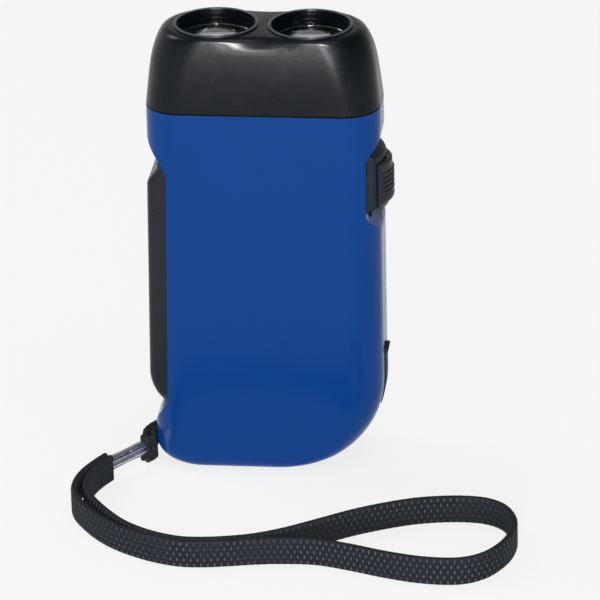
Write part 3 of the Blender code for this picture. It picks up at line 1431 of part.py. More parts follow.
def make_electronics():
    """Make the cells, both boards, the rectifier and the leads between the boards."""
    for number in range(CELL_COUNT):
        front = CELL_FRONT_Y + number * (CELL_THICKNESS + FIT)
        rear = front + CELL_THICKNESS
        lip = CELL_RADIUS - CELL_LIP
        profile = [
            (0, front),
            (lip, front),
            (CELL_RADIUS, front + FIT),
            (CELL_RADIUS, rear),
            (0, rear),
        ]
        name = f"battery_cell_{number + 1}"
        depth_turned(name, profile, CELL_CENTRE, STEEL, steps=INNER_TURN_STEPS)
    box(
        "circuit_board",
        (BOARD_X[0], BOARD_Y[0], BOARD_Z[0]),
        (BOARD_X[1], BOARD_Y[1], BOARD_Z[1]),
        BOARD_GREEN,
    )
    low_x = BOARD_X[0] + RECTIFIER_MARGINS[0]
    low_z = BOARD_Z[0] + RECTIFIER_MARGINS[1]
    high_x = low_x + RECTIFIER_WIDTH
    high_z = low_z + RECTIFIER_HEIGHT
    rear_y = BOARD_Y[0] - FIT
    front_y = rear_y - RECTIFIER_THICKNESS
    box("rectifier", (low_x, front_y, low_z), (high_x, rear_y, high_z), BLACK_PLASTIC)
    half_width = LED_BOARD_WIDTH / 2
    half_depth = LED_BOARD_DEPTH / 2
    box(
        "led_board",
        (-half_width, -half_depth, LED_BOARD_TOP - LED_BOARD_THICKNESS),
        (half_width, half_depth, LED_BOARD_TOP),
        BOARD_GREEN,
    )
    lead_top = LED_BOARD_TOP - LED_BOARD_THICKNESS - FIT
    lead_foot = BOARD_Z[1] + FIT
    y = half_depth - LEAD_RADIUS * 2
    low_y = (BOARD_Y[0] + BOARD_Y[1]) / 2
    lead_x = BOARD_X[0] + LEAD_MARGIN
    for name, x in (("plus", lead_x), ("minus", lead_x + LEAD_PITCH)):
        points = [
            (x, low_y, lead_foot),
            (x, low_y, lead_foot + LEAD_STRAIGHT),
            (x, y, lead_top - LEAD_STRAIGHT),
            (x, y, lead_top),
        ]
        tube(f"led_lead_{name}", points, LEAD_RADIUS, COPPER)


def smooth_route(points, samples):
    """Return evenly spread samples of a smooth curve through a route's points."""
    ends = [2 * Vector(points[0]) - Vector(points[1])]
    ends_after = [2 * Vector(points[-1]) - Vector(points[-2])]
    stops = ends + [Vector(point) for point in points] + ends_after
    fine = []
    for index in range(1, len(stops) - 2):
        a, b, c, d = stops[index - 1 : index + 3]
        for step in range(CURVE_STEPS):
            t = step / CURVE_STEPS
            fine.append(
                0.5 * (2 * b + (c - a) * t + (2 * a - 5 * b + 4 * c - d) * t * t)
                + 0.5 * (3 * b - a - 3 * c + d) * t * t * t
            )
    fine.append(stops[-2])
    travel = [0.0]
    for before, after in zip(fine, fine[1:]):
        travel.append(travel[-1] + (after - before).length)
    places = []
    cursor = 0
    for index in range(samples + 1):
        want = travel[-1] * index / samples
        while cursor < len(travel) - 2 and travel[cursor + 1] < want:
            cursor += 1
        share = (want - travel[cursor]) / (travel[cursor + 1] - travel[cursor])
        places.append(fine[cursor].lerp(fine[cursor + 1], min(max(share, 0), 1)))
    return places


def band(name, places, across, widths, thickness, material):
    """Make a flat band along places; across gives its width direction at each place."""
    rings = []
    for index, place in enumerate(places):
        before = places[max(index - 1, 0)]
        after = places[min(index + 1, len(places) - 1)]
        along = (after - before).normalized()
        wide = across[index] - along * across[index].dot(along)
        wide.normalize()
        flat = along.cross(wide)
        half_width = widths[index] / 2
        half_thick = thickness / 2
        nick = thickness / 3
        corners = (
            (half_width - nick, half_thick),
            (half_width, half_thick - nick),
            (half_width, nick - half_thick),
            (half_width - nick, -half_thick),
            (nick - half_width, -half_thick),
            (-half_width, nick - half_thick),
            (-half_width, half_thick - nick),
            (nick - half_width, half_thick),
        )
        rings.append([place + wide * w + flat * t for w, t in corners])
    return loft(name, rings, material)


def make_strap():
    """Make the wrist strap: the post, the tab round it, the crimp and the free loop."""
    rod("strap_post", (POST_X, 0, POST_FOOT), (POST_X, 0, POST_TOP), POST_RADIUS, STEEL)
    middle = STRAP_LIFT + STRAP_WIDTH / 2
    route = [(x, y, middle) for x, y in STRAP_ROUTE]
    places = smooth_route(route, STRAP_SAMPLES)
    up = [Vector((0, 0, 1))] * len(places)
    band("strap_loop", places, up, [STRAP_WIDTH] * len(places), STRAP_THICKNESS, STRAP_CLOTH)
    route = tab_route()
    places = smooth_route(route, 2 * len(route))
    widths = []
    for place in places:
        share = (place.z - TAB_CRIMPED_Z) / (pocket_middle() - TAB_CRIMPED_Z)
        share = min(max(share, 0), 1)
        widths.append(TAB_CRIMPED_WIDTH + (TAB_WIDTH - TAB_CRIMPED_WIDTH) * share)
    up = [Vector((0, 0, 1))] * len(places)
    band("strap_tab", places, up, widths, TAB_THICKNESS, STRAP_CLOTH)
    make_crimp()


def pocket_middle():
    """Return the height of the middle of the strap pocket."""
    return (POCKET_BOTTOM + POCKET_TOP) / 2


def tab_route():
    """Return the tab's places from the crimp, round the post and back, standing on its edge."""
    start = Vector(CRIMP_START)
    along = (Vector(CRIMP_END) - start).normalized()
    beside = along.cross(Vector((0, 0, 1))) * TAB_PLY_OFFSET
    entry = start - along * TAB_GAP
    lead = entry - along * TAB_LEAD
    radius = POST_RADIUS + TAB_WRAP_PLAY + TAB_THICKNESS / 2
    wrap = arc((POST_X, 0), radius, -math.pi / 2, math.pi / 2, CURVE_STEPS)
    route = [(*(entry - beside).xy, 0), (*(lead - beside).xy, 0)]
    route += list(TAB_ROUTE_IN) + [(x, y, 1) for x, y in wrap] + list(TAB_ROUTE_OUT)
    route += [(*(lead + beside).xy, 0), (*(entry + beside).xy, 0)]
    rise = pocket_middle() - TAB_CRIMPED_Z
    return [(x, y, TAB_CRIMPED_Z + rise * share) for x, y, share in route]


def crimp_ring(reach, flare):
    """Return one section of the crimp: a flat tube with a crease along each broad side."""
    side = CRIMP_THICKNESS / 2 + flare
    top = CRIMP_HEIGHT / 2 + flare
    half = (
        (side - CRIMP_EDGE, -top),
        (side, CRIMP_EDGE - top),
        (side, -CRIMP_CREASE_HALF_WIDTH),
        (side - CRIMP_CREASE, 0),
        (side, CRIMP_CREASE_HALF_WIDTH),
        (side, top - CRIMP_EDGE),
        (side - CRIMP_EDGE, top),
    )
    return [(reach, y, z) for y, z in half] + [(reach, -y, z) for y, z in reversed(half)]


def make_crimp():
    """Make the pressed metal crimp that holds the strap's plies together."""
    start = Vector(CRIMP_START)
    end = Vector(CRIMP_END)
    length = (end - start).length
    mouth = 2 * CRIMP_EDGE
    stations = (
        (0, CRIMP_MOUTH_FLARE),
        (mouth, 0),
        (length - mouth, 0),
        (length, CRIMP_MOUTH_FLARE),
    )
    crimp = loft("strap_crimp", [crimp_ring(reach, flare) for reach, flare in stations], CRIMP_METAL)
    direction = math.atan2(end.y - start.y, end.x - start.x)
    crimp.data.transform(Matrix.Translation(start) @ Matrix.Rotation(direction, 4, "Z"))


def main():
    """Make the whole flashlight."""
    make_case()
    make_head()
    make_lamps()
    make_lever()
    make_spring()
    make_gears()
    make_rotor()
    make_stator()
    make_screws()
    make_switch()
    make_socket()
    make_electronics()
    make_strap()
    bpy.context.view_layer.update()


main()
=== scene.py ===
"""Looks of the hand-press dynamo flashlight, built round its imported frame.

Metres, +Z up. The light stands on its foot at the origin, and its front looks along -Y.
"""

import logging
import math
from dataclasses import dataclass, field
from enum import Enum
from typing import Iterable, Optional, Sequence, Union

import bmesh
import bpy
from mathutils import Matrix, Vector


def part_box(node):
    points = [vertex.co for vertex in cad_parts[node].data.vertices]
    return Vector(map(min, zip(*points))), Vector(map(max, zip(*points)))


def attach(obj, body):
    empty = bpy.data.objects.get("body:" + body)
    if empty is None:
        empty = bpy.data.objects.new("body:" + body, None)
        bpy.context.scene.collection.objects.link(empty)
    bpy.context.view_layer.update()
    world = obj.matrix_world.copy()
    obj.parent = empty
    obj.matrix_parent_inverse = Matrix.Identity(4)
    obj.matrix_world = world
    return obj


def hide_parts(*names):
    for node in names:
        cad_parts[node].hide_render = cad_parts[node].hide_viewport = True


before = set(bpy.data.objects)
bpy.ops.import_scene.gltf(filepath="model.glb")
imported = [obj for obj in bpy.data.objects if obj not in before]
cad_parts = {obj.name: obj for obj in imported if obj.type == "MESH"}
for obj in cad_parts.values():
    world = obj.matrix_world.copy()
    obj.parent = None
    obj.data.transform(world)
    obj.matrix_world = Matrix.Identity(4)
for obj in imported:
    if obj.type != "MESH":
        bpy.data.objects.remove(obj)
LOG = logging.getLogger("flashlight")
FIT = 0.0003
WELD = 0.000001
UP = Vector((0, 0, 1))
ROD_SIDES = 48
BRAID_PITCH = 0.00140
BRAID_ROWS = 0.00240
BARREL_SPACING = 0.0201
STRAP_POST = (-0.0205, 0.0)
SCREW_PLACES = ((-0.0105, 0.0756), (0.0155, 0.0756), (-0.0105, 0.0062), (0.0125, 0.0076))
BARRELS = {
    "left": Vector((-BARREL_SPACING / 2, 0, 0)),
    "right": Vector((BARREL_SPACING / 2, 0, 0)),
}

Number = Union[float, "Value"]
Colour = tuple[float, float, float]
Place = tuple[float, float]
Spot = tuple[float, float, float]


def srgb(red: float, green: float, blue: float) -> Colour:
    """Return the linear colour of a display colour.

    Args:
        red: The red level, from 0 to 255.
        green: The green level, from 0 to 255.
        blue: The blue level, from 0 to 255.

    Returns:
        The three linear levels, from 0 to 1.
    """

    def linear(level: float) -> float:
        """Return one level's linear value."""
        share = level / 255
        return share / 12.92 if share <= 0.04045 else ((share + 0.055) / 1.055) ** 2.4

    return linear(red), linear(green), linear(blue)


class Value:
    """One output of a node, with the operators that shader sums are written in."""

    def __init__(self, graph: "Graph", socket: bpy.types.NodeSocket) -> None:
        """Keep the socket and the graph that it belongs to."""
        self.graph = graph
        self.socket = socket

    def __add__(self, other: Number) -> "Value":
        """Return the sum."""
        return self.graph.math("ADD", self, other)

    __radd__ = __add__

    def __sub__(self, other: Number) -> "Value":
        """Return the difference."""
        return self.graph.math("SUBTRACT", self, other)

    def __rsub__(self, other: Number) -> "Value":
        """Return the difference, the other way round."""
        return self.graph.math("SUBTRACT", other, self)

    def __mul__(self, other: Number) -> "Value":
        """Return the product."""
        return self.graph.math("MULTIPLY", self, other)

    __rmul__ = __mul__

    def __abs__(self) -> "Value":
        """Return the size without its sign."""
        return self.graph.math("ABSOLUTE", self)

    def sine(self) -> "Value":
        """Return the sine."""
        return self.graph.math("SINE", self)

    def most(self, other: Number) -> "Value":
        """Return the larger of two."""
        return self.graph.math("MAXIMUM", self, other)

    def between(self, low: float, high: float, first: float = 0.0, last: float = 1.0) -> "Value":
        """Return a smooth passage from one level to another.

        Args:
            low: The value at which the passage starts.
            high: The value at which it ends.
            first: The level up to its start.
            last: The level from its end on.

        Returns:
            The smooth step.
        """
        stops = {"From Min": low, "From Max": high, "To Min": first, "To Max": last}
        settings = {"interpolation_type": "SMOOTHSTEP"}
        return self.graph.out("Result", "ShaderNodeMapRange", settings, {"Value": self, **stops})


class Graph:
    """The nodes of a material or a world, under construction."""

    def __init__(self, owner: Union[bpy.types.Material, bpy.types.World]) -> None:
        """Start on the owner's own nodes."""
        owner.use_nodes = True
        self.tree = owner.node_tree

    def node(
        self, kind: str, settings: Optional[dict] = None, values: Optional[dict] = None
    ) -> bpy.types.Node:
        """Add a node, with its settings set before its inputs.

        Args:
            kind: The node's type.
            settings: The node's own settings.
            values: The values or links of its inputs, by name or index.

        Returns:
            The new node.
        """
        made = self.tree.nodes.new(kind)
        for key, value in (settings or {}).items():
            setattr(made, key, value)
        for key, value in (values or {}).items():
            self.feed(made.inputs[key], value)
        return made

    def out(
        self,
        output: Union[int, str],
        kind: str,
        settings: Optional[dict] = None,
        values: Optional[dict] = None,
    ) -> Value:
        """Add a node as above, and return one of its outputs.

        Args:
            output: The output's name or index.
            kind: The node's type.
            settings: The node's own settings.
            values: The values or links of its inputs, by name or index.

        Returns:
            The output.
        """
        return Value(self, self.node(kind, settings, values).outputs[output])

    def feed(self, socket: bpy.types.NodeSocket, value: object) -> None:
        """Link a value to an input, or set it there.

        Args:
            socket: The input.
            value: A value, a socket, a colour or a number.
        """
        if isinstance(value, Value):
            self.tree.links.new(value.socket, socket)
        elif isinstance(value, bpy.types.NodeSocket):
            self.tree.links.new(value, socket)
        elif isinstance(value, tuple) and len(value) == 3 and socket.type == "RGBA":
            socket.default_value = (*value, 1.0)
        else:
            socket.default_value = value

    def math(self, operation: str, *terms: Number) -> Value:
        """Add a Math node."""
        return self.out(0, "ShaderNodeMath", {"operation": operation}, dict(enumerate(terms)))

    def axis(self, name: str, space: str = "Object") -> Value:
        """Return one coordinate by its letter, in the object's own space or another."""
        coordinates = self.out(space, "ShaderNodeTexCoord")
        return self.out(name, "ShaderNodeSeparateXYZ", None, {0: coordinates})

    def rays(self) -> dict[str, Value]:
        """Return the tests for camera, glossy and transmitted rays, by the rays' name.

        Returns:
            The tests, each 1 for its own rays and 0 for the others.
        """
        path = self.node("ShaderNodeLightPath")
        kinds = ("Camera", "Glossy", "Transmission")
        return {kind: Value(self, path.outputs[f"Is {kind} Ray"]) for kind in kinds}


class Paint(Graph):
    """A node material under construction, round one Principled shader."""

    def __init__(self, name: str) -> None:
        """Start a new material.

        Args:
            name: The material's name.
        """
        self.material = bpy.data.materials.new(name)
        super().__init__(self.material)
        self.shader = self.tree.nodes["Principled BSDF"]

    def place(self, scale: Spot = (1, 1, 1)) -> Value:
        """Return the object's own coordinates, stretched."""
        values = {"Vector": self.out("Object", "ShaderNodeTexCoord"), "Scale": scale}
        return self.out(0, "ShaderNodeMapping", None, values)

    def noise(self, scale: float, detail: float, vector: Optional[Value] = None) -> Value:
        """Return cloudy noise, from 0 to 1.

        Args:
            scale: How many clouds there are to a metre.
            detail: How many finer layers are added.
            vector: The coordinates it is drawn on.

        Returns:
            The noise's level.
        """
        values = {"Vector": vector or self.place(), "Scale": scale, "Detail": detail}
        return self.out(0, "ShaderNodeTexNoise", None, values)

    def blend(self, share: Number, first: object, second: object) -> Value:
        """Mix two colours by a share."""
        values = {0: share, 6: first, 7: second}
        return self.out(2, "ShaderNodeMix", {"data_type": "RGBA"}, values)

    def bump(self, height: Number, distance: float) -> None:
        """Raise the surface by a height, whose level of 1 is a distance in metres."""
        values = {"Height": height, "Distance": distance, "Strength": 1.0}
        self.set("Normal", self.out(0, "ShaderNodeBump", None, values))

    def set(self, name: str, value: object) -> None:
        """Set or link an input of the main shader."""
        self.feed(self.shader.inputs[name], value)


def shaded(colour: Colour, share: float) -> Colour:
    """Return a colour at a share of its lightness, no lighter than white."""
    return tuple(min(level * share, 1) for level in colour)


@dataclass(frozen=True)
class MouldedPlastic:
    """A moulded plastic: its colour, gloss, how fine its skin is, and an optional painted
    highlight on its top rim.
    """

    name: str
    colour: Colour
    roughness: float
    grain: float
    grain_scale: float
    waviness: float
    mottling: float
    gloss: float = 0.2
    coat: float = 0.0
    coat_roughness: float = 0.1
    rim_highlight_height: float = 0.0
    rim_span: float = 0.0001
    rim_highlight_colour: Colour = srgb(74, 80, 87)
    cloud_scale: float = 70
    rim_highlight_breakup: float = 0.4
    rub_scale: float = 240
    rub_span: Place = (0.35, 0.75)
    rub_dullness: float = 0.05
    grain_dullness: float = 0.06
    swell_scale: float = 180
    relief: float = 0.00004

    def make(self) -> bpy.types.Material:
        """Make the material.

        Returns:
            The material.
        """
        paint = Paint(self.name)
        clouds = paint.noise(self.cloud_scale, 3)
        fine = paint.noise(self.grain_scale, 3)
        darker = shaded(self.colour, 1 - 2 * self.mottling)
        tone = paint.blend(clouds, darker, shaded(self.colour, 1 + 2 * self.mottling))
        # Painted highlight: above the rim height the tone is blended towards the rim colour,
        # broken up by fine noise, for light caught by the rim's edge.
        if self.rim_highlight_height:
            above = paint.axis("Z").between(self.rim_highlight_height, self.rim_highlight_height + self.rim_span)
            painted_highlight_share = above * (1 - self.rim_highlight_breakup + self.rim_highlight_breakup * fine)
            tone = paint.blend(painted_highlight_share, tone, self.rim_highlight_colour)
        paint.set("Base Color", tone)
        rubbed = paint.noise(self.rub_scale, 4).between(*self.rub_span)
        dull = self.rub_dullness * (rubbed - 0.5) + self.grain_dullness * (fine - 0.5)
        paint.set("Roughness", self.roughness + dull)
        if self.coat:
            paint.set("Coat Weight", self.coat)
            paint.set("Coat Roughness", self.coat_roughness)
        paint.set("Specular IOR Level", self.gloss)
        swell = paint.noise(self.swell_scale, 1) * self.waviness
        paint.bump(fine * self.grain + swell, self.relief)
        return paint.material


@dataclass(frozen=True)
class Metal:
    """A bright or drawn metal."""

    name: str
    colour: Colour
    roughness: float
    brush: float
    brush_scale: Spot = (900.0, 900.0, 40.0)
    smear_scale: float = 320
    smear_span: Place = (0.3, 0.7)
    smear_tone: float = 0.82
    smear_dullness: float = 0.08
    smear_relief: float = 0.2
    brush_dullness: float = 0.12
    relief: float = 0.00002

    def make(self) -> bpy.types.Material:
        """Make the material.

        Returns:
            The material.
        """
        paint = Paint(self.name)
        streaks = paint.noise(1.0, 4, paint.place(self.brush_scale))
        smears = paint.noise(self.smear_scale, 3)
        smeared = shaded(self.colour, self.smear_tone)
        tone = paint.blend(smears.between(*self.smear_span), smeared, self.colour)
        paint.set("Base Color", tone)
        paint.set("Metallic", 1.0)
        dull = self.brush_dullness * (streaks - 0.5) + self.smear_dullness * (smears - 0.5)
        paint.set("Roughness", self.roughness + dull)
        paint.bump(streaks * self.brush + smears * self.smear_relief, self.relief)
        return paint.material


@dataclass(frozen=True)
class ClearPlastic:
    """A clear moulded plastic, such as a lens."""

    name: str
    colour: Colour
    roughness: float
    bend: float = 1.49
    haze_scale: float = 600
    haze_dullness: float = 0.02
    skin_scale: float = 900
    relief: float = 0.000004

    def make(self) -> bpy.types.Material:
        """Make the material.

        Returns:
            The material.
        """
        paint = Paint(self.name)
        haze = paint.noise(self.haze_scale, 3)
        paint.set("Base Color", self.colour)
        paint.set("Roughness", self.roughness + self.haze_dullness * haze)
        paint.set("Transmission Weight", 1.0)
        paint.set("IOR", self.bend)
        paint.bump(paint.noise(self.skin_scale, 2), self.relief)
        return paint.material


@dataclass(frozen=True)
class WovenCloth:
    """The flat braid of the strap: dark yarns, whose crossings catch the light."""

    name: str
    dark: Colour
    light: Colour
    roughness: float = 0.8
    gloss: float = 0.2
    patch_scale: float = 90
    patch_span: Place = (0.38, 0.60)
    patch_least: float = 0.35
    crossing_span: Place = (0.60, 1.0)
    yarn_counts: Place = (6, 5)
    yarn_light: float = 0.4
    yarn_relief: float = 0.35
    rib_count: float = 3
    rib_span: Place = (0.6, 1.0)
    rib_light: float = 0.10
    fuzz_scale: float = 5200
    fuzz_tone: float = 0.75
    fuzz_dullness: float = 0.1
    fuzz_relief: float = 0.3
    relief: float = 0.00012

    def make(self) -> bpy.types.Material:
        """Make the material, which follows the piece's own UV map.

        Returns:
            The material.
        """
        paint = Paint(self.name)
        chart = paint.node("ShaderNodeUVMap", {"uv_map": "weave"}).outputs[0]
        parts = paint.node("ShaderNodeSeparateXYZ", None, {0: chart})
        along = Value(paint, parts.outputs["X"]) * (math.pi / BRAID_PITCH)
        across = Value(paint, parts.outputs["Y"]) * (math.pi / BRAID_ROWS)
        quarter = math.pi / 2
        crossing = abs((along + across + quarter).sine() * (along - across + quarter).sine())
        patches = paint.noise(self.patch_scale, 3).between(*self.patch_span)
        lengthwise, sideways = self.yarn_counts
        leaning = abs((along * lengthwise + across * sideways).sine())
        crossed = abs((along * lengthwise - across * sideways).sine())
        yarns = leaning * 0.5 + crossed * 0.5
        ribs = abs((across * self.rib_count).sine()).between(*self.rib_span)
        # Painted highlight: crossings, yarns and ribs are lightened towards the light colour, in
        # random patches, for light caught by the raised braid.
        bright = crossing.between(*self.crossing_span)
        painted_highlight_share = self.patch_least + (1 - self.patch_least) * patches
        lit = bright * painted_highlight_share * (1 - self.yarn_light + self.yarn_light * yarns)
        fuzz = paint.noise(self.fuzz_scale, 3)
        dull = paint.blend(fuzz, shaded(self.dark, self.fuzz_tone), self.dark)
        lit += ribs * (1 - patches) * self.rib_light
        paint.set("Base Color", paint.blend(lit, dull, self.light))
        paint.set("Roughness", self.roughness + self.fuzz_dullness * (fuzz - 0.5))
        paint.set("Specular IOR Level", self.gloss)
        paint.bump(crossing + self.yarn_relief * yarns + self.fuzz_relief * fuzz, self.relief)
        return paint.material


class Finish(Enum):
    """The finishes of the flashlight's surfaces."""

    CASE = MouldedPlastic("case_blue_gloss", srgb(6, 62, 134), 0.20, 0.2, 5200, 0.3, 0.012, 0.12)
    # The head's barrel rims, above 0.1 m, carry a painted highlight in a lighter grey.
    HEAD = MouldedPlastic(
        "head_black_satin", srgb(8, 14, 21), 0.27, 0.5, 4200, 0.12, 0.015, 0.19, rim_highlight_height=0.1000
    )
    LEVER = MouldedPlastic("lever_black_satin", srgb(30, 36, 43), 0.30, 0.6, 3600, 0.4, 0.04)
    SWITCH = MouldedPlastic("switch_black_matt", srgb(24, 32, 41), 0.42, 0.8, 3600, 0.4, 0.05)
    THUMB = MouldedPlastic("thumb_black_matt", srgb(34, 39, 46), 0.36, 0.8, 3600, 0.4, 0.05)
    RUBBER = MouldedPlastic("cover_black_rubber", srgb(18, 20, 24), 0.6, 1.0, 3000, 0.4, 0.05)
    COIL = MouldedPlastic(
        "coil_white_plastic", srgb(226, 224, 216), 0.42, 0.4, 3200, 0.3, 0.03, 0.5
    )
    MAGNET = MouldedPlastic(
        "magnet_grey_ferrite", srgb(66, 66, 70), 0.55, 1.2, 2600, 0.3, 0.08, 0.5
    )
    BOARD = MouldedPlastic(
        "board_green_lacquer", srgb(22, 104, 62), 0.35, 0.6, 1800, 0.2, 0.08, 0.5, coat=0.4
    )
    STEEL = Metal("steel_bright", srgb(190, 190, 194), 0.26, 0.5)
    BRASS = Metal("gear_brass_cut", srgb(196, 158, 92), 0.30, 0.5)
    SPRING = Metal("steel_spring", srgb(160, 160, 166), 0.32, 0.4)
    COPPER = Metal("copper_enamelled", srgb(190, 112, 66), 0.35, 0.8)
    CRIMP = Metal("crimp_bright", srgb(190, 193, 197), 0.26, 0.3)
    BOWL = Metal("bowl_mirror", srgb(150, 154, 160), 0.16, 0.1)
    LENS = ClearPlastic("lens_clear_moulded", (0.93, 0.95, 0.98), 0.0, 1.46)
    LED = ClearPlastic("led_clear_moulded", (0.98, 0.97, 0.90), 0.05)
    # Each cloth's second colour is its painted highlight on the braid's crossings; the tab's is
    # dimmer.
    CLOTH = WovenCloth("strap_black_cloth", srgb(10, 18, 27), srgb(84, 94, 104))
    TAB = WovenCloth("tab_black_cloth", srgb(20, 24, 30), srgb(50, 56, 63))

    def material(self) -> bpy.types.Material:
        """Return the finish's material, made once.

        Returns:
            The material, which every piece of the finish shares.
        """
        if self not in MADE:
            MADE[self] = self.value.make()
        return MADE[self]


MADE: dict[Finish, bpy.types.Material] = {}


def weld(shape: bmesh.types.BMesh) -> None:
    """Merge doubled vertices and turn every face outwards."""
    bmesh.ops.remove_doubles(shape, verts=shape.verts[:], dist=WELD)
    bmesh.ops.recalc_face_normals(shape, faces=shape.faces[:])


def link(name: str, data: bpy.types.ID) -> bpy.types.Object:
    """Put a mesh, a lamp or a camera into the scene under a name.

    Args:
        name: The object's name.
        data: What the object shows.

    Returns:
        The new object.
    """
    item = bpy.data.objects.new(name, data)
    bpy.context.scene.collection.objects.link(item)
    return item


def solid(name: str, shape: bmesh.types.BMesh) -> bpy.types.Object:
    """Turn a finished bmesh into an object.

    Args:
        name: The object's name.
        shape: The bmesh, which is freed.

    Returns:
        The new object, at the origin.
    """
    mesh = bpy.data.meshes.new(name)
    shape.to_mesh(mesh)
    shape.free()
    return link(name, mesh)


@dataclass(frozen=True)
class Weave:
    """The lengths along and round a woven band, in metres, at its rows and columns."""

    along: Sequence[float]
    girth: Sequence[float]


def skin(
    name: str, rows: Sequence[Sequence[Vector]], weave: Optional[Weave] = None
) -> bpy.types.Object:
    """Lay a closed skin over rows of places, each row closed on itself.

    Args:
        name: The object's name.
        rows: The rows of places, from one end to the other, all of one length.
        weave: The lengths that the surface's UV map takes, if it has one.

    Returns:
        The new object.
    """
    around = len(rows[0])
    along = len(rows) - 1
    shape = bmesh.new()
    uv_layer = shape.loops.layers.uv.new("weave") if weave else None
    bmesh.ops.create_grid(shape, x_segments=around, y_segments=along, size=0.5)
    seats = {
        vert: (round((vert.co.x + 0.5) * around), round((vert.co.y + 0.5) * along))
        for vert in shape.verts
    }
    if weave:
        for face in shape.faces:
            for loop in face.loops:
                column, level = seats[loop.vert]
                loop[uv_layer].uv = (weave.along[level], weave.girth[column])
    for vert, (column, level) in seats.items():
        vert.co = rows[level][column % around]
    bmesh.ops.remove_doubles(shape, verts=shape.verts[:], dist=WELD)
    rims = [edge for edge in shape.edges if edge.is_boundary]
    bmesh.ops.holes_fill(shape, edges=rims, sides=0)
    bmesh.ops.recalc_face_normals(shape, faces=shape.faces[:])
    return solid(name, shape)


def block(name: str, low: Sequence[float], high: Sequence[float]) -> bpy.types.Object:
    """Make a box between two corners.

    Args:
        name: The object's name.
        low: Its lowest corner.
        high: Its highest corner.

    Returns:
        The new object.
    """
    shape = bmesh.new()
    bmesh.ops.create_cube(shape, size=1.0)
    span = Vector(high) - Vector(low)
    bmesh.ops.scale(shape, vec=span, verts=shape.verts[:])
    bmesh.ops.translate(shape, vec=(Vector(high) + Vector(low)) / 2, verts=shape.verts[:])
    return solid(name, shape)


def post(name: str, start: Vector, end: Vector, radius: float) -> bpy.types.Object:
    """Make a round rod between two places.

    Args:
        name: The object's name.
        start: The middle of its first end.
        end: The middle of its other end.
        radius: Its radius.

    Returns:
        The new object.
    """
    shape = bmesh.new()
    span = end - start
    bmesh.ops.create_cone(
        shape, cap_ends=True, segments=ROD_SIDES, radius1=radius, radius2=radius, depth=span.length
    )
    turn = UP.rotation_difference(span.normalized()).to_matrix()
    bmesh.ops.rotate(shape, cent=(0, 0, 0), matrix=turn, verts=shape.verts[:])
    bmesh.ops.translate(shape, vec=(start + end) / 2, verts=shape.verts[:])
    return solid(name, shape)


def rod(name: str, place: Place, span: Place, radius: float) -> bpy.types.Object:
    """Make a round rod along Y, from one Y to another, at an (x, z) place."""
    x, z = place
    return post(name, Vector((x, span[0], z)), Vector((x, span[1], z)), radius)


def plate(name: str, outline: Sequence[Place], span: Place) -> bpy.types.Object:
    """Make a slab along Y from an outline in the X-Z plane.

    Args:
        name: The object's name.
        outline: The outline's (x, z) places, in order.
        span: The slab's front and rear Y.

    Returns:
        The new object.
    """
    shape = bmesh.new()
    verts = [shape.verts.new((x, span[0], z)) for x, z in outline]
    edges = [shape.edges.new((a, b)) for a, b in zip(verts, verts[1:] + verts[:1])]
    bmesh.ops.contextual_create(shape, geom=edges)
    grown = bmesh.ops.extrude_face_region(shape, geom=shape.faces[:], use_keep_orig=True)
    moved = [item for item in grown["geom"] if isinstance(item, bmesh.types.BMVert)]
    bmesh.ops.translate(shape, vec=(0, span[1] - span[0], 0), verts=moved)
    bmesh.ops.recalc_face_normals(shape, faces=shape.faces[:])
    return solid(name, shape)


def turned(
    name: str, profile: Sequence[Place], centre: Vector, steps: int = 96
) -> bpy.types.Object:
    """Spin a profile of (radius, height) places about an upright axis.

    Args:
        name: The object's name.
        profile: The places, from the lower end to the upper.
        centre: A place on the axis.
        steps: How many faces go round.

    Returns:
        The new object.
    """
    shape = bmesh.new()
    verts = [shape.verts.new((radius, 0, height)) for radius, height in profile]
    edges = [
        shape.edges.new((a, b))
        for a, b in zip(verts, verts[1:] + verts[:1])
        if max(a.co.x, b.co.x) > WELD
    ]
    bmesh.ops.spin(
        shape,
        geom=verts + edges,
        cent=(0, 0, 0),
        axis=(0, 0, 1),
        angle=2 * math.pi,
        steps=steps,
        use_merge=True,
    )
    weld(shape)
    bmesh.ops.translate(shape, vec=centre, verts=shape.verts[:])
    return solid(name, shape)


def carve(
    piece: bpy.types.Object, tools: Iterable[bpy.types.Object], operation: str = "DIFFERENCE"
) -> None:
    """Cut tools from a piece, or join them to it, and remove them.

    Args:
        piece: The piece, whose mesh is replaced.
        tools: The tools, in the order of use.
        operation: DIFFERENCE, UNION or INTERSECT.
    """
    for tool in tools:
        change = piece.modifiers.new("carve", "BOOLEAN")
        change.operation = operation
        change.solver = "EXACT"
        change.object = tool
        settle(piece)
        bpy.data.objects.remove(tool)


def settle(piece: bpy.types.Object) -> None:
    """Apply a piece's modifiers to its mesh.

    Args:
        piece: The piece, whose mesh is replaced.
    """
    bpy.context.view_layer.update()
    graph = bpy.context.evaluated_depsgraph_get()
    mesh = bpy.data.meshes.new_from_object(piece.evaluated_get(graph))
    piece.modifiers.clear()
    piece.data = mesh


def dress(data: bpy.types.Mesh, finish: Finish) -> None:
    """Give a mesh one finish."""
    data.materials.clear()
    data.materials.append(finish.material())


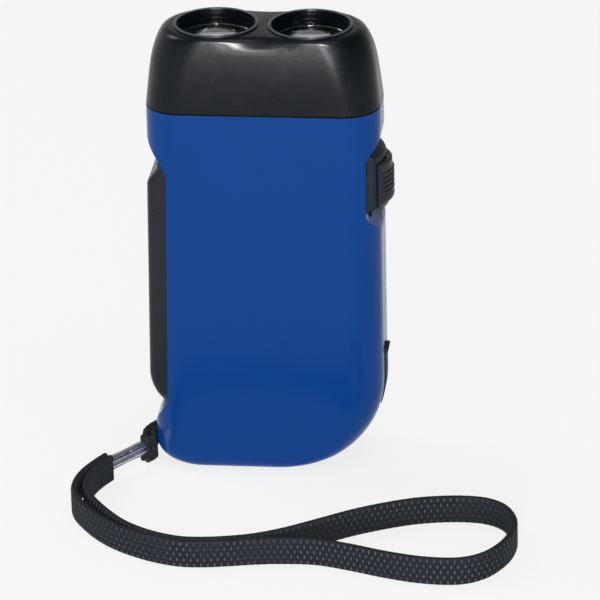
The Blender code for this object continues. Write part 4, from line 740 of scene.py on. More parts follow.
def finish_piece(
    piece: bpy.types.Object,
    finish: Finish,
    body: str,
    nodes: Sequence[str],
    angle: float = 32.0,
) -> None:
    """Dress a piece, shade it softly and tie it to its body.

    Args:
        piece: The piece.
        finish: Its finish.
        body: The body that it rides on.
        nodes: The CAD nodes that it stands for.
        angle: The sharpest angle that is still shaded as a curve, in degrees.
    """
    dress(piece.data, finish)
    piece.data.shade_smooth()
    shape = bmesh.new()
    shape.from_mesh(piece.data)
    limit = math.radians(angle)
    for edge in shape.edges:
        edge.smooth = len(edge.link_faces) == 2 and edge.calc_face_angle(0.0) < limit
    shape.to_mesh(piece.data)
    shape.free()
    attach(piece, body)
    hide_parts(*nodes)
    LOG.info("%s made, %d faces", piece.name, len(piece.data.polygons))


def ease(share: float) -> float:
    """Return a share that leaves 0 and reaches 1 without a kink."""
    share = min(max(share, 0.0), 1.0)
    return share * share * (3 - 2 * share)


def shares(count: int) -> list[float]:
    """Return count + 1 even shares, from 0 to 1."""
    return [index / count for index in range(count + 1)]


def draw_in(gap: float, radius: float) -> float:
    """Return how far a round edge has drawn in, at a gap from the edge's end.

    Args:
        gap: The distance from the end.
        radius: The edge's radius.

    Returns:
        The distance that the surface has moved in.
    """
    if gap >= radius:
        return 0.0
    return radius - math.sqrt(max(radius * radius - (radius - gap) ** 2, 0.0))


def quarter_round(size: float, share: float) -> Place:
    """Return how far a round edge has gone on and drawn in, at a share of its turn."""
    swing = math.pi / 2 * share
    return size * math.sin(swing), size * (1 - math.cos(swing))


def arc(centre: Place, radius: float, start: float, end: float, count: int) -> list[Place]:
    """Return places along an arc.

    Args:
        centre: The arc's centre.
        radius: Its radius.
        start: Its first angle, in radians.
        end: Its last angle.
        count: How many steps it has.

    Returns:
        The places, with both ends.
    """
    turns = [start + (end - start) * share for share in shares(count)]
    return [(centre[0] + radius * math.cos(t), centre[1] + radius * math.sin(t)) for t in turns]


def soft_rim(radius: float, top: float, edge: float, count: int = 4) -> list[Place]:
    """Return the quarter round of a turned piece's upper rim, from its side to its top."""
    return arc((radius - edge, top - edge), edge, 0, math.pi / 2, count)


def round_box(
    half_width: float, half_depth: float, corner: float, sides: int, corners: int = 16
) -> list[Place]:
    """Return a rectangle with round corners.

    Args:
        half_width: Half its size along X.
        half_depth: Half its size along Y.
        corner: Its corner radius.
        sides: How many steps its long sides have.
        corners: How many steps each corner has.

    Returns:
        The places, in order.
    """
    corner = min(corner, half_depth, half_width)
    places = []
    for turn, (side_x, side_y) in enumerate(((1, 1), (-1, 1), (-1, -1), (1, -1))):
        middle = (side_x * (half_width - corner), side_y * (half_depth - corner))
        start = math.pi / 2 * turn
        places += arc(middle, corner, start, start + math.pi / 2, corners)
        if turn in (0, 2):
            steps = shares(sides)[1:-1]
            places += [(middle[0] * (1 - 2 * share), side_y * half_depth) for share in steps]
    return places


def low(node: str) -> Vector:
    """Return a node's lowest corner."""
    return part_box(node)[0]


def high(node: str) -> Vector:
    """Return a node's highest corner."""
    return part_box(node)[1]


@dataclass
class WristStrap:
    """The woven wrist strap: its free loop, its tab round the post, and the metal crimp."""

    width: float = 0.0060
    thickness: float = 0.0013
    lift: float = 0.0002
    samples: int = 1250
    curve_steps: int = 12
    soft_angle: float = 60
    tab_steps: int = 8
    wrap_steps: int = 8
    edge_share: float = 0.42
    section_steps: tuple[int, int] = (18, 3)
    outer_share: float = 0.8
    outer_relief: float = 1.5
    braid_relief: float = 0.00007
    crimp_start: Spot = (-0.0278, -0.0082, 0.0037)
    crimp_end: Spot = (-0.0339, -0.0165, 0.0037)
    crimp_height: float = 0.0032
    crimp_thickness: float = 0.0024
    crimp_squareness: float = 0.6
    crimp_waist: Place = (0.10, 0.32)
    crimp_lip: Place = (0.12, 0.06)
    crimp_groove_share: float = 0.8
    crimp_steps: tuple[int, int] = (24, 96)
    crimp_angle: float = 50
    crimp_grooves: tuple[Spot, ...] = (
        (0.66, 0.10, 0.00030),
        (0.06, 0.16, 0.00065),
        (-0.68, 0.10, 0.00030),
    )
    tab_width: float = 0.0042
    tab_crimped_width: float = 0.0060
    tab_crimped_z: float = 0.0032
    tab_pocket_z: float = 0.0043
    tab_thickness: float = 0.0013
    tab_gap: float = 0.0006
    tab_lead: float = 0.0010
    tab_ply_offset: float = 0.00070
    wrap_radius: float = 0.00195
    route: tuple[Place, ...] = (
        (-0.03464, -0.01652), (-0.03660, -0.02030), (-0.03825, -0.02430), (-0.03915, -0.02850),
        (-0.03915, -0.03280), (-0.03800, -0.03700), (-0.03560, -0.04120), (-0.03240, -0.04560),
        (-0.02860, -0.04940), (-0.02440, -0.05240), (-0.01940, -0.05500), (-0.01400, -0.05670),
        (-0.00890, -0.05680), (-0.00360, -0.05600), (0.00180, -0.05490), (0.00740, -0.05420),
        (0.01490, -0.05420), (0.02230, -0.05630), (0.03000, -0.05910), (0.03770, -0.06100),
        (0.04510, -0.06100), (0.05000, -0.05830), (0.05340, -0.05340), (0.05530, -0.04760),
        (0.05540, -0.04160), (0.05320, -0.03620), (0.04960, -0.03330), (0.04500, -0.03240),
        (0.03940, -0.03280), (0.03360, -0.03420), (0.02760, -0.03680), (0.02120, -0.04040),
        (0.01440, -0.04520), (0.00740, -0.05000), (0.00160, -0.05290), (-0.00370, -0.05440),
        (-0.00890, -0.05520), (-0.01370, -0.05510), (-0.01860, -0.05350), (-0.02260, -0.05130),
        (-0.02640, -0.04830), (-0.02980, -0.04440), (-0.03280, -0.04020), (-0.03530, -0.03600),
        (-0.03670, -0.03200), (-0.03690, -0.02800), (-0.03620, -0.02400), (-0.03490, -0.02040),
        (-0.03344, -0.01745),
    )
    tab_in: tuple[Spot, ...] = (
        (-0.02545, -0.00640, 0.30),
        (-0.02575, -0.00430, 0.75),
        (-0.02540, -0.00260, 1.0),
        (-0.02400, -0.00205, 1.0),
        (-0.02220, -0.00195, 1.0),
    )
    tab_out: tuple[Spot, ...] = (
        (-0.02300, 0.00180, 1.0),
        (-0.02500, 0.00080, 1.0),
        (-0.02660, -0.00120, 0.75),
        (-0.02750, -0.00360, 0.35),
    )

    def smooth(self, places: Sequence[Vector], samples: int) -> list[Vector]:
        """Return evenly spread places on a smooth curve through a few places.

        Args:
            places: The places that the curve passes through.
            samples: How many even steps the curve gets.

        Returns:
            The even places, with both ends.
        """
        stops = [2 * places[0] - places[1], *places, 2 * places[-1] - places[-2]]
        fine = []
        for index in range(1, len(stops) - 2):
            a, b, c, d = stops[index - 1 : index + 3]
            for t in shares(self.curve_steps)[:-1]:
                even = 2 * b + (c - a) * t + (2 * a - 5 * b + 4 * c - d) * t * t
                fine.append(0.5 * even + 0.5 * (3 * b - a - 3 * c + d) * t * t * t)
        fine.append(stops[-2])
        travel = [0.0]
        for before, after in zip(fine, fine[1:]):
            travel.append(travel[-1] + (after - before).length)
        even_places = []
        cursor = 0
        for share in shares(samples):
            want = travel[-1] * share
            while cursor < len(travel) - 2 and travel[cursor + 1] < want:
                cursor += 1
            part = (want - travel[cursor]) / (travel[cursor + 1] - travel[cursor])
            even_places.append(fine[cursor].lerp(fine[cursor + 1], min(max(part, 0), 1)))
        return even_places

    def section(self, width: float, thickness: float) -> list[Place]:
        """Return the band's cross-section: flat faces with softly rounded edges."""
        edge = thickness * self.edge_share
        return round_box(width / 2, thickness / 2, edge, *self.section_steps)

    def braided(self, travel: float, width: float, w: float, t: float) -> Place:
        """Return a section's place, raised by the braid that passes there.

        Args:
            travel: How far along the band the section is.
            width: The band's width there.
            w: The place across the band's width.
            t: The place through its thickness.

        Returns:
            The raised place, across and through.
        """
        along = math.pi * travel / BRAID_PITCH
        across = math.pi * w / BRAID_ROWS
        rise = self.braid_relief * (abs(math.cos(along + across) * math.cos(along - across)) - 1)
        reach = abs(w) / (width / 2)
        outer = ease((reach - self.outer_share) / (1 - self.outer_share))
        beside = math.copysign(rise * self.outer_relief * outer, w)
        return w + beside, t + math.copysign(rise, t) * (1 - outer)

    def band(
        self, name: str, places: Sequence[Vector], widths: Sequence[float], thickness: float
    ) -> bpy.types.Object:
        """Make a woven band along places, standing on its edge.

        Args:
            name: The band's name.
            places: The middle of each of its sections.
            widths: Its width at each place.
            thickness: Its thickness.

        Returns:
            The band.
        """
        rows = []
        travel = [0.0]
        last = len(places) - 1
        for index, (place, width) in enumerate(zip(places, widths)):
            along = (places[min(index + 1, last)] - places[max(index - 1, 0)]).normalized()
            wide = (UP - along * UP.dot(along)).normalized()
            flat = along.cross(wide)
            if index:
                travel.append(travel[-1] + (place - places[index - 1]).length)
            section = self.section(width, thickness)
            raised = [self.braided(travel[-1], width, w, t) for w, t in section]
            rows.append([place + wide * w + flat * t for w, t in raised])
        girth = [w for w, _ in self.section(self.width, thickness)]
        return skin(name, rows, Weave(travel, girth + girth[:1]))

    def make_loop(self) -> tuple[bpy.types.Object, list[Vector]]:
        """Make the free loop, standing on its edge on the floor.

        Returns:
            The loop, and the places that it runs through.
        """
        middle = self.lift + self.width / 2
        places = self.smooth([Vector((x, y, middle)) for x, y in self.route], self.samples)
        widths = [self.width] * len(places)
        return self.band("wrist_loop", places, widths, self.thickness), places

    def tab_places(self) -> list[Vector]:
        """Return the tab's places from the crimp, round the post and back.

        Returns:
            The places, which stand higher in the case's pocket than in the crimp.
        """
        start = Vector(self.crimp_start)
        along = (Vector(self.crimp_end) - start).normalized()
        beside = along.cross(UP) * self.tab_ply_offset
        entry = start - along * self.tab_gap
        lead = entry - along * self.tab_lead
        wrap = arc(STRAP_POST, self.wrap_radius, -math.pi / 2, math.pi / 2, self.wrap_steps)
        stops = [(*(entry - beside).xy, 0), (*(lead - beside).xy, 0), *self.tab_in]
        stops += [(x, y, 1) for x, y in wrap]
        stops += [*self.tab_out, (*(lead + beside).xy, 0), (*(entry + beside).xy, 0)]
        rise = self.tab_pocket_z - self.tab_crimped_z
        return [Vector((x, y, self.tab_crimped_z + rise * share)) for x, y, share in stops]

    def make_tab(self) -> bpy.types.Object:
        """Make the tab, which stands on its edge all the way round the post.

        Returns:
            The tab, as wide as the crimp at its ends and narrower in the pocket.
        """
        stops = self.tab_places()
        places = self.smooth(stops, self.tab_steps * (len(stops) - 1))
        rise = self.tab_pocket_z - self.tab_crimped_z
        narrowing = self.tab_width - self.tab_crimped_width
        widths = []
        for place in places:
            share = min(max((place.z - self.tab_crimped_z) / rise, 0), 1)
            widths.append(self.tab_crimped_width + narrowing * share)
        return self.band("wrist_tab", places, widths, self.tab_thickness)

    def make_crimp(self) -> bpy.types.Object:
        """Make the crimp: a flattened bright tube, creased along both of its broad sides.

        Returns:
            The crimp.
        """
        start, end = Vector(self.crimp_start), Vector(self.crimp_end)
        along = (end - start).normalized()
        start, end = start - along * self.tab_gap, end + along * self.tab_gap
        side = along.cross(UP)
        half_height = self.crimp_height / 2
        waist, waist_reach = self.crimp_waist
        lip_depth, lip_reach = self.crimp_lip
        along_steps, round_steps = self.crimp_steps
        rows = []
        for share in shares(along_steps):
            flare = 1 - waist * math.exp(-(((share - 0.5) / waist_reach) ** 2))
            near = min(share, 1 - share)
            lip = 1 - lip_depth * (1 - near / lip_reach) if near < lip_reach else 1
            row = []
            for turn in shares(round_steps)[:-1]:
                angle = 2 * math.pi * turn
                height = half_height * flare * lip * math.sin(angle)
                bulge = abs(math.cos(angle)) ** self.crimp_squareness
                depth = self.crimp_thickness / 2 * lip * math.copysign(bulge, math.cos(angle))
                level = height / half_height
                for middle, reach, sunk in self.crimp_grooves:
                    groove = sunk * math.exp(-(((level - middle) / reach) ** 2))
                    deepest = abs(depth) * self.crimp_groove_share
                    depth -= math.copysign(min(groove, deepest), depth)
                row.append(start.lerp(end, share) + side * depth + UP * height)
            rows.append(row)
        return skin("wrist_crimp", rows)

    def make(self) -> None:
        loop, places = self.make_loop()
        finish_piece(loop, Finish.CLOTH, "body", ["strap_loop"], self.soft_angle)
        tab = self.make_tab()
        finish_piece(tab, Finish.TAB, "body", ["strap_tab"], self.soft_angle)
        crimp = self.make_crimp()
        finish_piece(crimp, Finish.CRIMP, "body", ["strap_crimp"], self.crimp_angle)
        length = sum((after - before).length for before, after in zip(places, places[1:]))
        LOG.info("strap loop is %.4f m long", length)


@dataclass
class Case:
    """The two glossy blue halves, with their recess, scallop, windows, wells and strap pocket."""

    half_width: float = high("front_shell").x
    half_depth: float = -low("front_shell").y
    height: float = high("front_shell").z
    mouth_half_depth: float = 0.0111
    crown_height: float = 0.040
    corner: float = 0.0077
    wall: float = 0.0017
    foot_edge: float = 0.004
    foot_corner_left: float = 0.0055
    foot_corner_right: float = 0.020
    parting: float = 0.0003
    overrun: float = 0.006
    least_step: float = 0.00004
    side_steps: int = 12
    wall_steps: int = 18
    foot_steps: int = 14
    ease_steps: int = 20
    bed_steps: int = 16
    recess_top: float = 0.0771
    recess_bottom: float = 0.0083
    recess_depths: Place = (0.0047, 0.0034)
    recess_eases: Place = (0.0090, 0.0092)
    slot_top: float = 0.0730
    slot_bottom: float = 0.0130
    slot_half_depth: float = 0.0084
    slot_flange: float = 0.0058
    scallop_top: float = 0.0770
    scallop_bottom: float = 0.0552
    scallop_depth: float = 0.0029
    scallop_wall: float = 0.0016
    scallop_ease: float = 0.0052
    pocket_depth: float = 0.0080
    pocket_half_depth: float = 0.0036
    pocket_span: Place = (0.0020, 0.0077)
    pocket_wall: float = 0.0014
    pocket_roof: float = 0.0007
    post_span: Place = (0.0009, 0.0092)
    post_bore: float = 0.0014
    cover_span: Place = (0.0134, 0.0262)
    cover_half_depth: float = 0.0022
    cover_bed: float = 0.0009
    window_half_depth: float = 0.0019
    window_span: Place = (0.0174, 0.0226)
    screw_boss: float = 0.0034
    screw_well: float = 0.0025
    screw_seat: float = 0.0075

    @property
    def deep(self) -> float:
        """Return a depth that is well outside the case."""
        return self.half_depth + self.overrun

    @property
    def far(self) -> float:
        """Return a half width that is well outside the case."""
        return self.half_width + self.overrun

    def ring(self, height: float, inset: float) -> list[Vector]:
        """Return the case's outline at a height, moved in by an inset.

        Args:
            height: The height.
            inset: The inset, which is 0 for the outside.

        Returns:
            The outline's places.
        """
        above = height - inset
        left = self.half_width - inset - draw_in(above, self.foot_corner_left - inset)
        right = self.half_width - inset - draw_in(above, self.foot_corner_right - inset)
        rise = max(height - self.crown_height, 0) / (self.height - self.crown_height)
        half = self.half_depth - (self.half_depth - self.mouth_half_depth) * min(rise, 1) ** 2
        half -= inset + draw_in(above, self.foot_edge - inset)
        outline = round_box((left + right) / 2, half, self.corner - inset, self.side_steps)
        return [Vector(((right - left) / 2 + x, y, height)) for x, y in outline]

    def hull(self, name: str, inset: float, top: float) -> bpy.types.Object:
        """Make the case's closed form, or its inner space when it has an inset.

        Args:
            name: The object's name.
            inset: How far it is moved in from the outside.
            top: Its upper end.

        Returns:
            The closed form.
        """
        heights = {inset, top}
        for radius in (self.foot_edge, self.foot_corner_left, self.foot_corner_right):
            for share in shares(self.foot_steps):
                heights.add(inset + quarter_round(radius - inset, share)[1])
        for share in shares(self.wall_steps):
            heights.add(self.foot_corner_right + (self.height - self.foot_corner_right) * share)
        levels = []
        for height in sorted(heights):
            if height <= top and (not levels or height - levels[-1] > self.least_step):
                levels.append(height)
        return skin(name, [self.ring(height, inset) for height in levels])

    def bite(
        self, side: int, top: float, bottom: float, depths: Place, eases: Place
    ) -> list[Place]:
        """Return the outline of a cut that eases into one side of the case and out again.

        Args:
            side: The side, -1 for left and 1 for right.
            top: The cut's upper end.
            bottom: Its lower end.
            depths: Its depth at the upper and the lower end.
            eases: The heights over which it eases in at both ends.

        Returns:
            The outline's (x, z) places.
        """
        edge = self.half_width
        steps = shares(self.ease_steps)[1:]
        upper = [(edge - depths[0] * ease(share), top - eases[0] * share) for share in steps]
        lower = [(edge - depths[1] * ease(share), bottom + eases[1] * share) for share in steps]
        outline = [(self.far, top), (edge, top), *upper]
        outline += [*reversed(lower), (edge, bottom), (self.far, bottom)]
        return [(side * x, z) for x, z in outline]

    def space(self) -> bpy.types.Object:
        """Make the inner space, with the solid parts that show through the openings left out.

        Returns:
            The space, which is cut from the case.
        """
        space = self.hull("case_space", self.wall, self.height + self.overrun)
        left = -self.half_width
        reach = self.pocket_half_depth + self.pocket_wall
        back = self.pocket_depth + self.pocket_wall - self.half_width
        floor = self.half_width - self.scallop_depth - self.scallop_wall
        deep = self.deep
        corners = (
            (left, -deep, self.recess_bottom + self.wall),
            (left + self.slot_flange, deep, self.recess_top + FIT),
            (floor, -deep, self.scallop_bottom),
            (self.half_width, deep, self.scallop_top),
            (left, -reach, 0),
            (back, reach, self.post_span[1] + self.pocket_roof),
        )
        kept = [block("kept", *pair) for pair in zip(corners[::2], corners[1::2])]
        kept += [rod("boss", place, (-deep, deep), self.screw_boss) for place in SCREW_PLACES]
        carve(space, kept)
        return space

    def bed_outline(self) -> list[Place]:
        """Return the outline of the shallow bed that the socket's cover lies in.

        Returns:
            The outline's (x, z) places.
        """
        radius = self.foot_corner_right
        centre = (self.half_width - radius, radius)
        low_angle = math.asin((self.cover_span[0] - FIT - radius) / radius)
        far = radius + self.overrun
        outline = arc(centre, radius - self.cover_bed, low_angle, 0, self.bed_steps)
        outline += [(self.half_width - self.cover_bed, self.cover_span[1] + FIT)]
        outline += [(centre[0] + far, self.cover_span[1] + FIT)]
        return outline + arc(centre, far, 0, low_angle, self.bed_steps)

    def cutters(self) -> list[bpy.types.Object]:
        """Make the cuts that both halves share.

        Returns:
            The tools, in the order of use.
        """
        left, far, deep = -self.half_width, self.far, self.deep
        scallop_depths = (self.scallop_depth, self.scallop_depth)
        scallop_eases = (self.scallop_ease, self.scallop_ease)
        slot, window = self.slot_half_depth, self.window_half_depth
        bed = self.cover_half_depth + FIT
        edges = (
            (-1, self.recess_top, self.recess_bottom, self.recess_depths, self.recess_eases),
            (1, self.scallop_top, self.scallop_bottom, scallop_depths, scallop_eases),
        )
        recess, scallop = [plate("bite", self.bite(*edge), (-deep, deep)) for edge in edges]
        bezel_low, bezel_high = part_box("switch_bezel")
        gap = Vector((FIT, FIT, FIT))
        behind = self.half_width - self.wall - self.overrun / 2
        pocket_back = self.pocket_depth - self.half_width
        x, y = STRAP_POST
        made = [
            recess,
            scallop,
            block(
                "slot",
                (-far, -slot, self.slot_bottom),
                (left + self.slot_flange + FIT, slot, self.slot_top),
            ),
            block("bezel_window", bezel_low - gap, (far, *(bezel_high + gap).yz)),
            plate("cover_bed", self.bed_outline(), (-bed, bed)),
            block(
                "cover_window",
                (behind, -window, self.window_span[0]),
                (far, window, self.window_span[1]),
            ),
            block(
                "strap_pocket",
                (-far, -self.pocket_half_depth, self.pocket_span[0]),
                (pocket_back, self.pocket_half_depth, self.pocket_span[1]),
            ),
            post("post_bore", *[Vector((x, y, z)) for z in self.post_span], self.post_bore),
        ]
        well = (self.screw_seat, deep)
        return made + [rod("well", place, well, self.screw_well) for place in SCREW_PLACES]

    def make(self) -> None:
        """Make both halves."""
        space = self.space()
        whole = self.hull("case_whole", 0, self.height)
        carve(whole, self.cutters())
        carve(whole, [space])
        top = self.height + self.overrun
        for name, node, span in (
            ("case_front", "front_shell", (-self.deep, -self.parting / 2)),
            ("case_rear", "rear_shell", (self.parting / 2, self.deep)),
        ):
            half = link(name, whole.data.copy())
            kept = block("half", (-self.far, span[0], -self.overrun), (self.far, span[1], top))
            carve(half, [kept], "INTERSECT")
            finish_piece(half, Finish.CASE, "body", [node])
        bpy.data.objects.remove(whole)


@dataclass
class Head:
    """The black head: a round-cornered cap that grows into two lamp barrels."""

    half_width: float = high("head_cap").x
    half_depth: float = 0.0111
    seat: float = 0.0834
    spigot_foot: float = low("head_cap").z
    top: float = high("head_cap").z
    deck: float = 0.0998
    edge: float = 0.0010
    corner: float = 0.0077
    top_corner: float = 0.0094
    draft_share: float = 0.07
    taper_share: float = 0.098
    taper_power: float = 5.35
    depth_share: float = 0.145
    depth_power: float = 2.2
    waist_share: float = 0.13
    waist_from: float = 0.80
    wall: float = 0.0032
    cavity_top: float = 0.0910
    barrel_radius: float = 0.00904
    bore_radius: float = 0.0082
    lips: tuple[float, ...] = (0.00835, 0.00800, 0.00760)
    lip_step: float = 0.0010
    lip_edge: float = 0.00018
    spigot_wall: float = 0.0012
    barrel_root: float = 0.0012
    overrun: float = 0.001
    side_steps: int = 40
    wall_steps: int = 30
    edge_steps: int = 7
    cavity_steps: int = 5
    turn_steps: int = 128

    def ring(self, height: float, inset: float) -> list[Vector]:
        """Return the head's outline at a height, moved in by an inset.

        Args:
            height: The height.
            inset: The inset, which is 0 for the outside.

        Returns:
            The outline's places, with a waist between the barrels near the top.
        """
        rise = min(max((height - self.seat) / (self.top - self.seat), 0), 1)
        taper = self.draft_share * rise + self.taper_share * rise**self.taper_power
        half_width = self.half_width * (1 - taper) - inset
        half_depth = self.half_depth * (1 - self.depth_share * rise**self.depth_power) - inset
        corner = self.corner + (self.top_corner - self.corner) * rise - inset
        waist = self.waist_share * ease((rise - self.waist_from) / (1 - self.waist_from))
        reach = BARREL_SPACING / 2
        places = []
        for x, y in round_box(half_width, half_depth, corner, self.side_steps):
            bump = (1 + math.cos(math.pi * x / reach)) / 2 if abs(x) < reach else 0
            places.append(Vector((x, y * (1 - waist * bump), height)))
        return places

    def bore_profile(self) -> list[Place]:
        """Return the bore's profile, stepped above the lens and rounded at its rim.

        Returns:
            The (radius, height) places of the tool that cuts the bore.
        """
        lens_top = self.top - self.lip_step * len(self.lips)
        profile = [(0, self.cavity_top - FIT), (self.bore_radius, self.cavity_top - FIT)]
        profile += [(self.bore_radius, lens_top)]
        for index, radius in reversed(list(enumerate(self.lips))):
            floor = self.top - self.lip_step * (index + 1)
            profile += [(radius, floor), (radius, floor + self.lip_step)]
        edge = self.lip_edge
        profile.pop()
        profile += arc((self.lips[0] + edge, self.top - edge), edge, math.pi, math.pi / 2, 4)[:-1]
        above = self.top + self.overrun
        profile += [(self.lips[0] + edge, above), (0, above)]
        return profile

    def make_shell(self) -> bpy.types.Object:
        """Make the head's outside with its round deck edge and barrels.

        Returns:
            The outside, still solid.
        """
        shoulder = self.deck - self.edge
        rise = shoulder - self.seat
        rows = [self.ring(self.seat + rise * share, 0) for share in shares(self.wall_steps)]
        for share in shares(self.edge_steps)[1:]:
            risen, sunk = quarter_round(self.edge, share)
            rows.append(self.ring(shoulder + risen, sunk))
        shell = skin("head_shell", rows)
        foot = self.cavity_top + self.barrel_root
        rim = soft_rim(self.barrel_radius, self.top, self.lip_edge)
        profile = [(0, foot), (self.barrel_radius, foot), *rim, (0, self.top)]
        turns = self.turn_steps
        tubes = [turned("barrel", profile, centre, turns) for centre in BARRELS.values()]
        carve(shell, tubes, "UNION")
        return shell

    def make(self) -> None:
        """Make the head."""
        head = self.make_shell()
        heights = (self.spigot_foot, self.seat + self.overrun)
        rows = [self.ring(z, self.wall - self.spigot_wall) for z in heights]
        carve(head, [skin("spigot", rows)], "UNION")
        foot = self.spigot_foot - self.overrun
        depth = self.cavity_top - foot
        rows = [self.ring(foot + depth * share, self.wall) for share in shares(self.cavity_steps)]
        profile, turns = self.bore_profile(), self.turn_steps
        bores = [turned("bore", profile, centre, turns) for centre in BARRELS.values()]
        carve(head, [skin("cavity", rows), *bores])
        finish_piece(head, Finish.HEAD, "body", ["head_cap"])


@dataclass
class Lamps:
    """The two lamps: a clear lens, a bright bowl and a round lamp in each barrel."""

    top: float = high("lens_left").z
    foot: float = low("lens_left").z
    radius: float = 0.0079
    flat: float = 0.0010
    dome_radius: float = 0.0046
    dome_rise: float = 0.0014
    lens_edge: float = 0.0002
    dome_fillet: tuple[Place, ...] = ((0.0003, 0.0), (0.0001, 0.00006))
    bowl_top: float = high("reflector_left").z
    bowl_depth: float = 0.0078
    bowl_mouth: float = 0.0068
    bowl_neck: float = 0.0031
    bowl_wall: float = 0.0008
    bowl_flange: float = 0.0009
    bulb_foot: float = low("led_left").z
    bulb_radius: float = 0.0025
    bulb_rim: float = 0.0029
    bulb_rim_height: float = 0.0010
    bulb_length: float = 0.0070
    dome_steps: int = 20
    bowl_steps: int = 24
    wide_turn: int = 96
    narrow_turn: int = 64

    def dome(self, radius: float, foot: float, rise: float) -> list[Place]:
        """Return a dome's profile from its rim to the axis.

        Args:
            radius: The rim's radius.
            foot: The rim's height.
            rise: The dome's own height.

        Returns:
            The (radius, height) places.
        """
        turns = [math.pi / 2 * share for share in shares(self.dome_steps)[:-1]]
        places = [(radius * math.cos(t), foot + rise * math.sin(t)) for t in turns]
        return places + [(0, foot + rise)]

    def lens_profile(self) -> list[Place]:
        """Return the lens: a flat rim with a soft edge, and a dome in its middle.

        Returns:
            Its (radius, height) places.
        """
        level = self.foot + self.flat
        rim = soft_rim(self.radius, level, self.lens_edge)
        fillet = [(self.dome_radius + out, level + up) for out, up in self.dome_fillet]
        dome = self.dome(self.dome_radius, level, self.dome_rise)
        return [(0, self.foot), (self.radius, self.foot), *rim, *fillet, *dome]

    def bowl_profile(self) -> list[Place]:
        """Return the reflector: a curved bowl with a flange at its mouth.

        Returns:
            Its (radius, height) places.
        """
        inner = []
        outer = []
        flange = self.bowl_top - self.bowl_flange
        for share in shares(self.bowl_steps):
            radius = self.bowl_mouth - (self.bowl_mouth - self.bowl_neck) * share**2
            height = self.bowl_top - self.bowl_depth * share
            inner.append((radius, height))
            outer.append((radius + self.bowl_wall, min(height, flange)))
        return inner + outer[::-1] + [(self.radius, flange), (self.radius, self.bowl_top)]

    def bulb_profile(self) -> list[Place]:
        """Return the lamp: a rim and a body with a round end.

        Returns:
            Its (radius, height) places.
        """
        rim = self.bulb_foot + self.bulb_rim_height
        crown = self.bulb_foot + self.bulb_length - self.bulb_radius
        places = [(0, self.bulb_foot), (self.bulb_rim, self.bulb_foot), (self.bulb_rim, rim)]
        dome = self.dome(self.bulb_radius, crown, self.bulb_radius)
        return places + [(self.bulb_radius, rim), *dome]

    def make(self) -> None:
        """Make both lamps."""
        kinds = (
            ("lens_cap", self.lens_profile(), self.wide_turn, Finish.LENS, "lens_clear", "lens"),
            ("bowl", self.bowl_profile(), self.wide_turn, Finish.BOWL, "mirror", "reflector"),
            ("bulb", self.bulb_profile(), self.narrow_turn, Finish.LED, "led_clear", "led"),
        )
        for side, centre in BARRELS.items():
            for name, profile, steps, finish, slot, node in kinds:
                piece = turned(f"{name}_{side}", profile, centre, steps)
                finish_piece(piece, finish, "body", [f"{node}_{side}"])


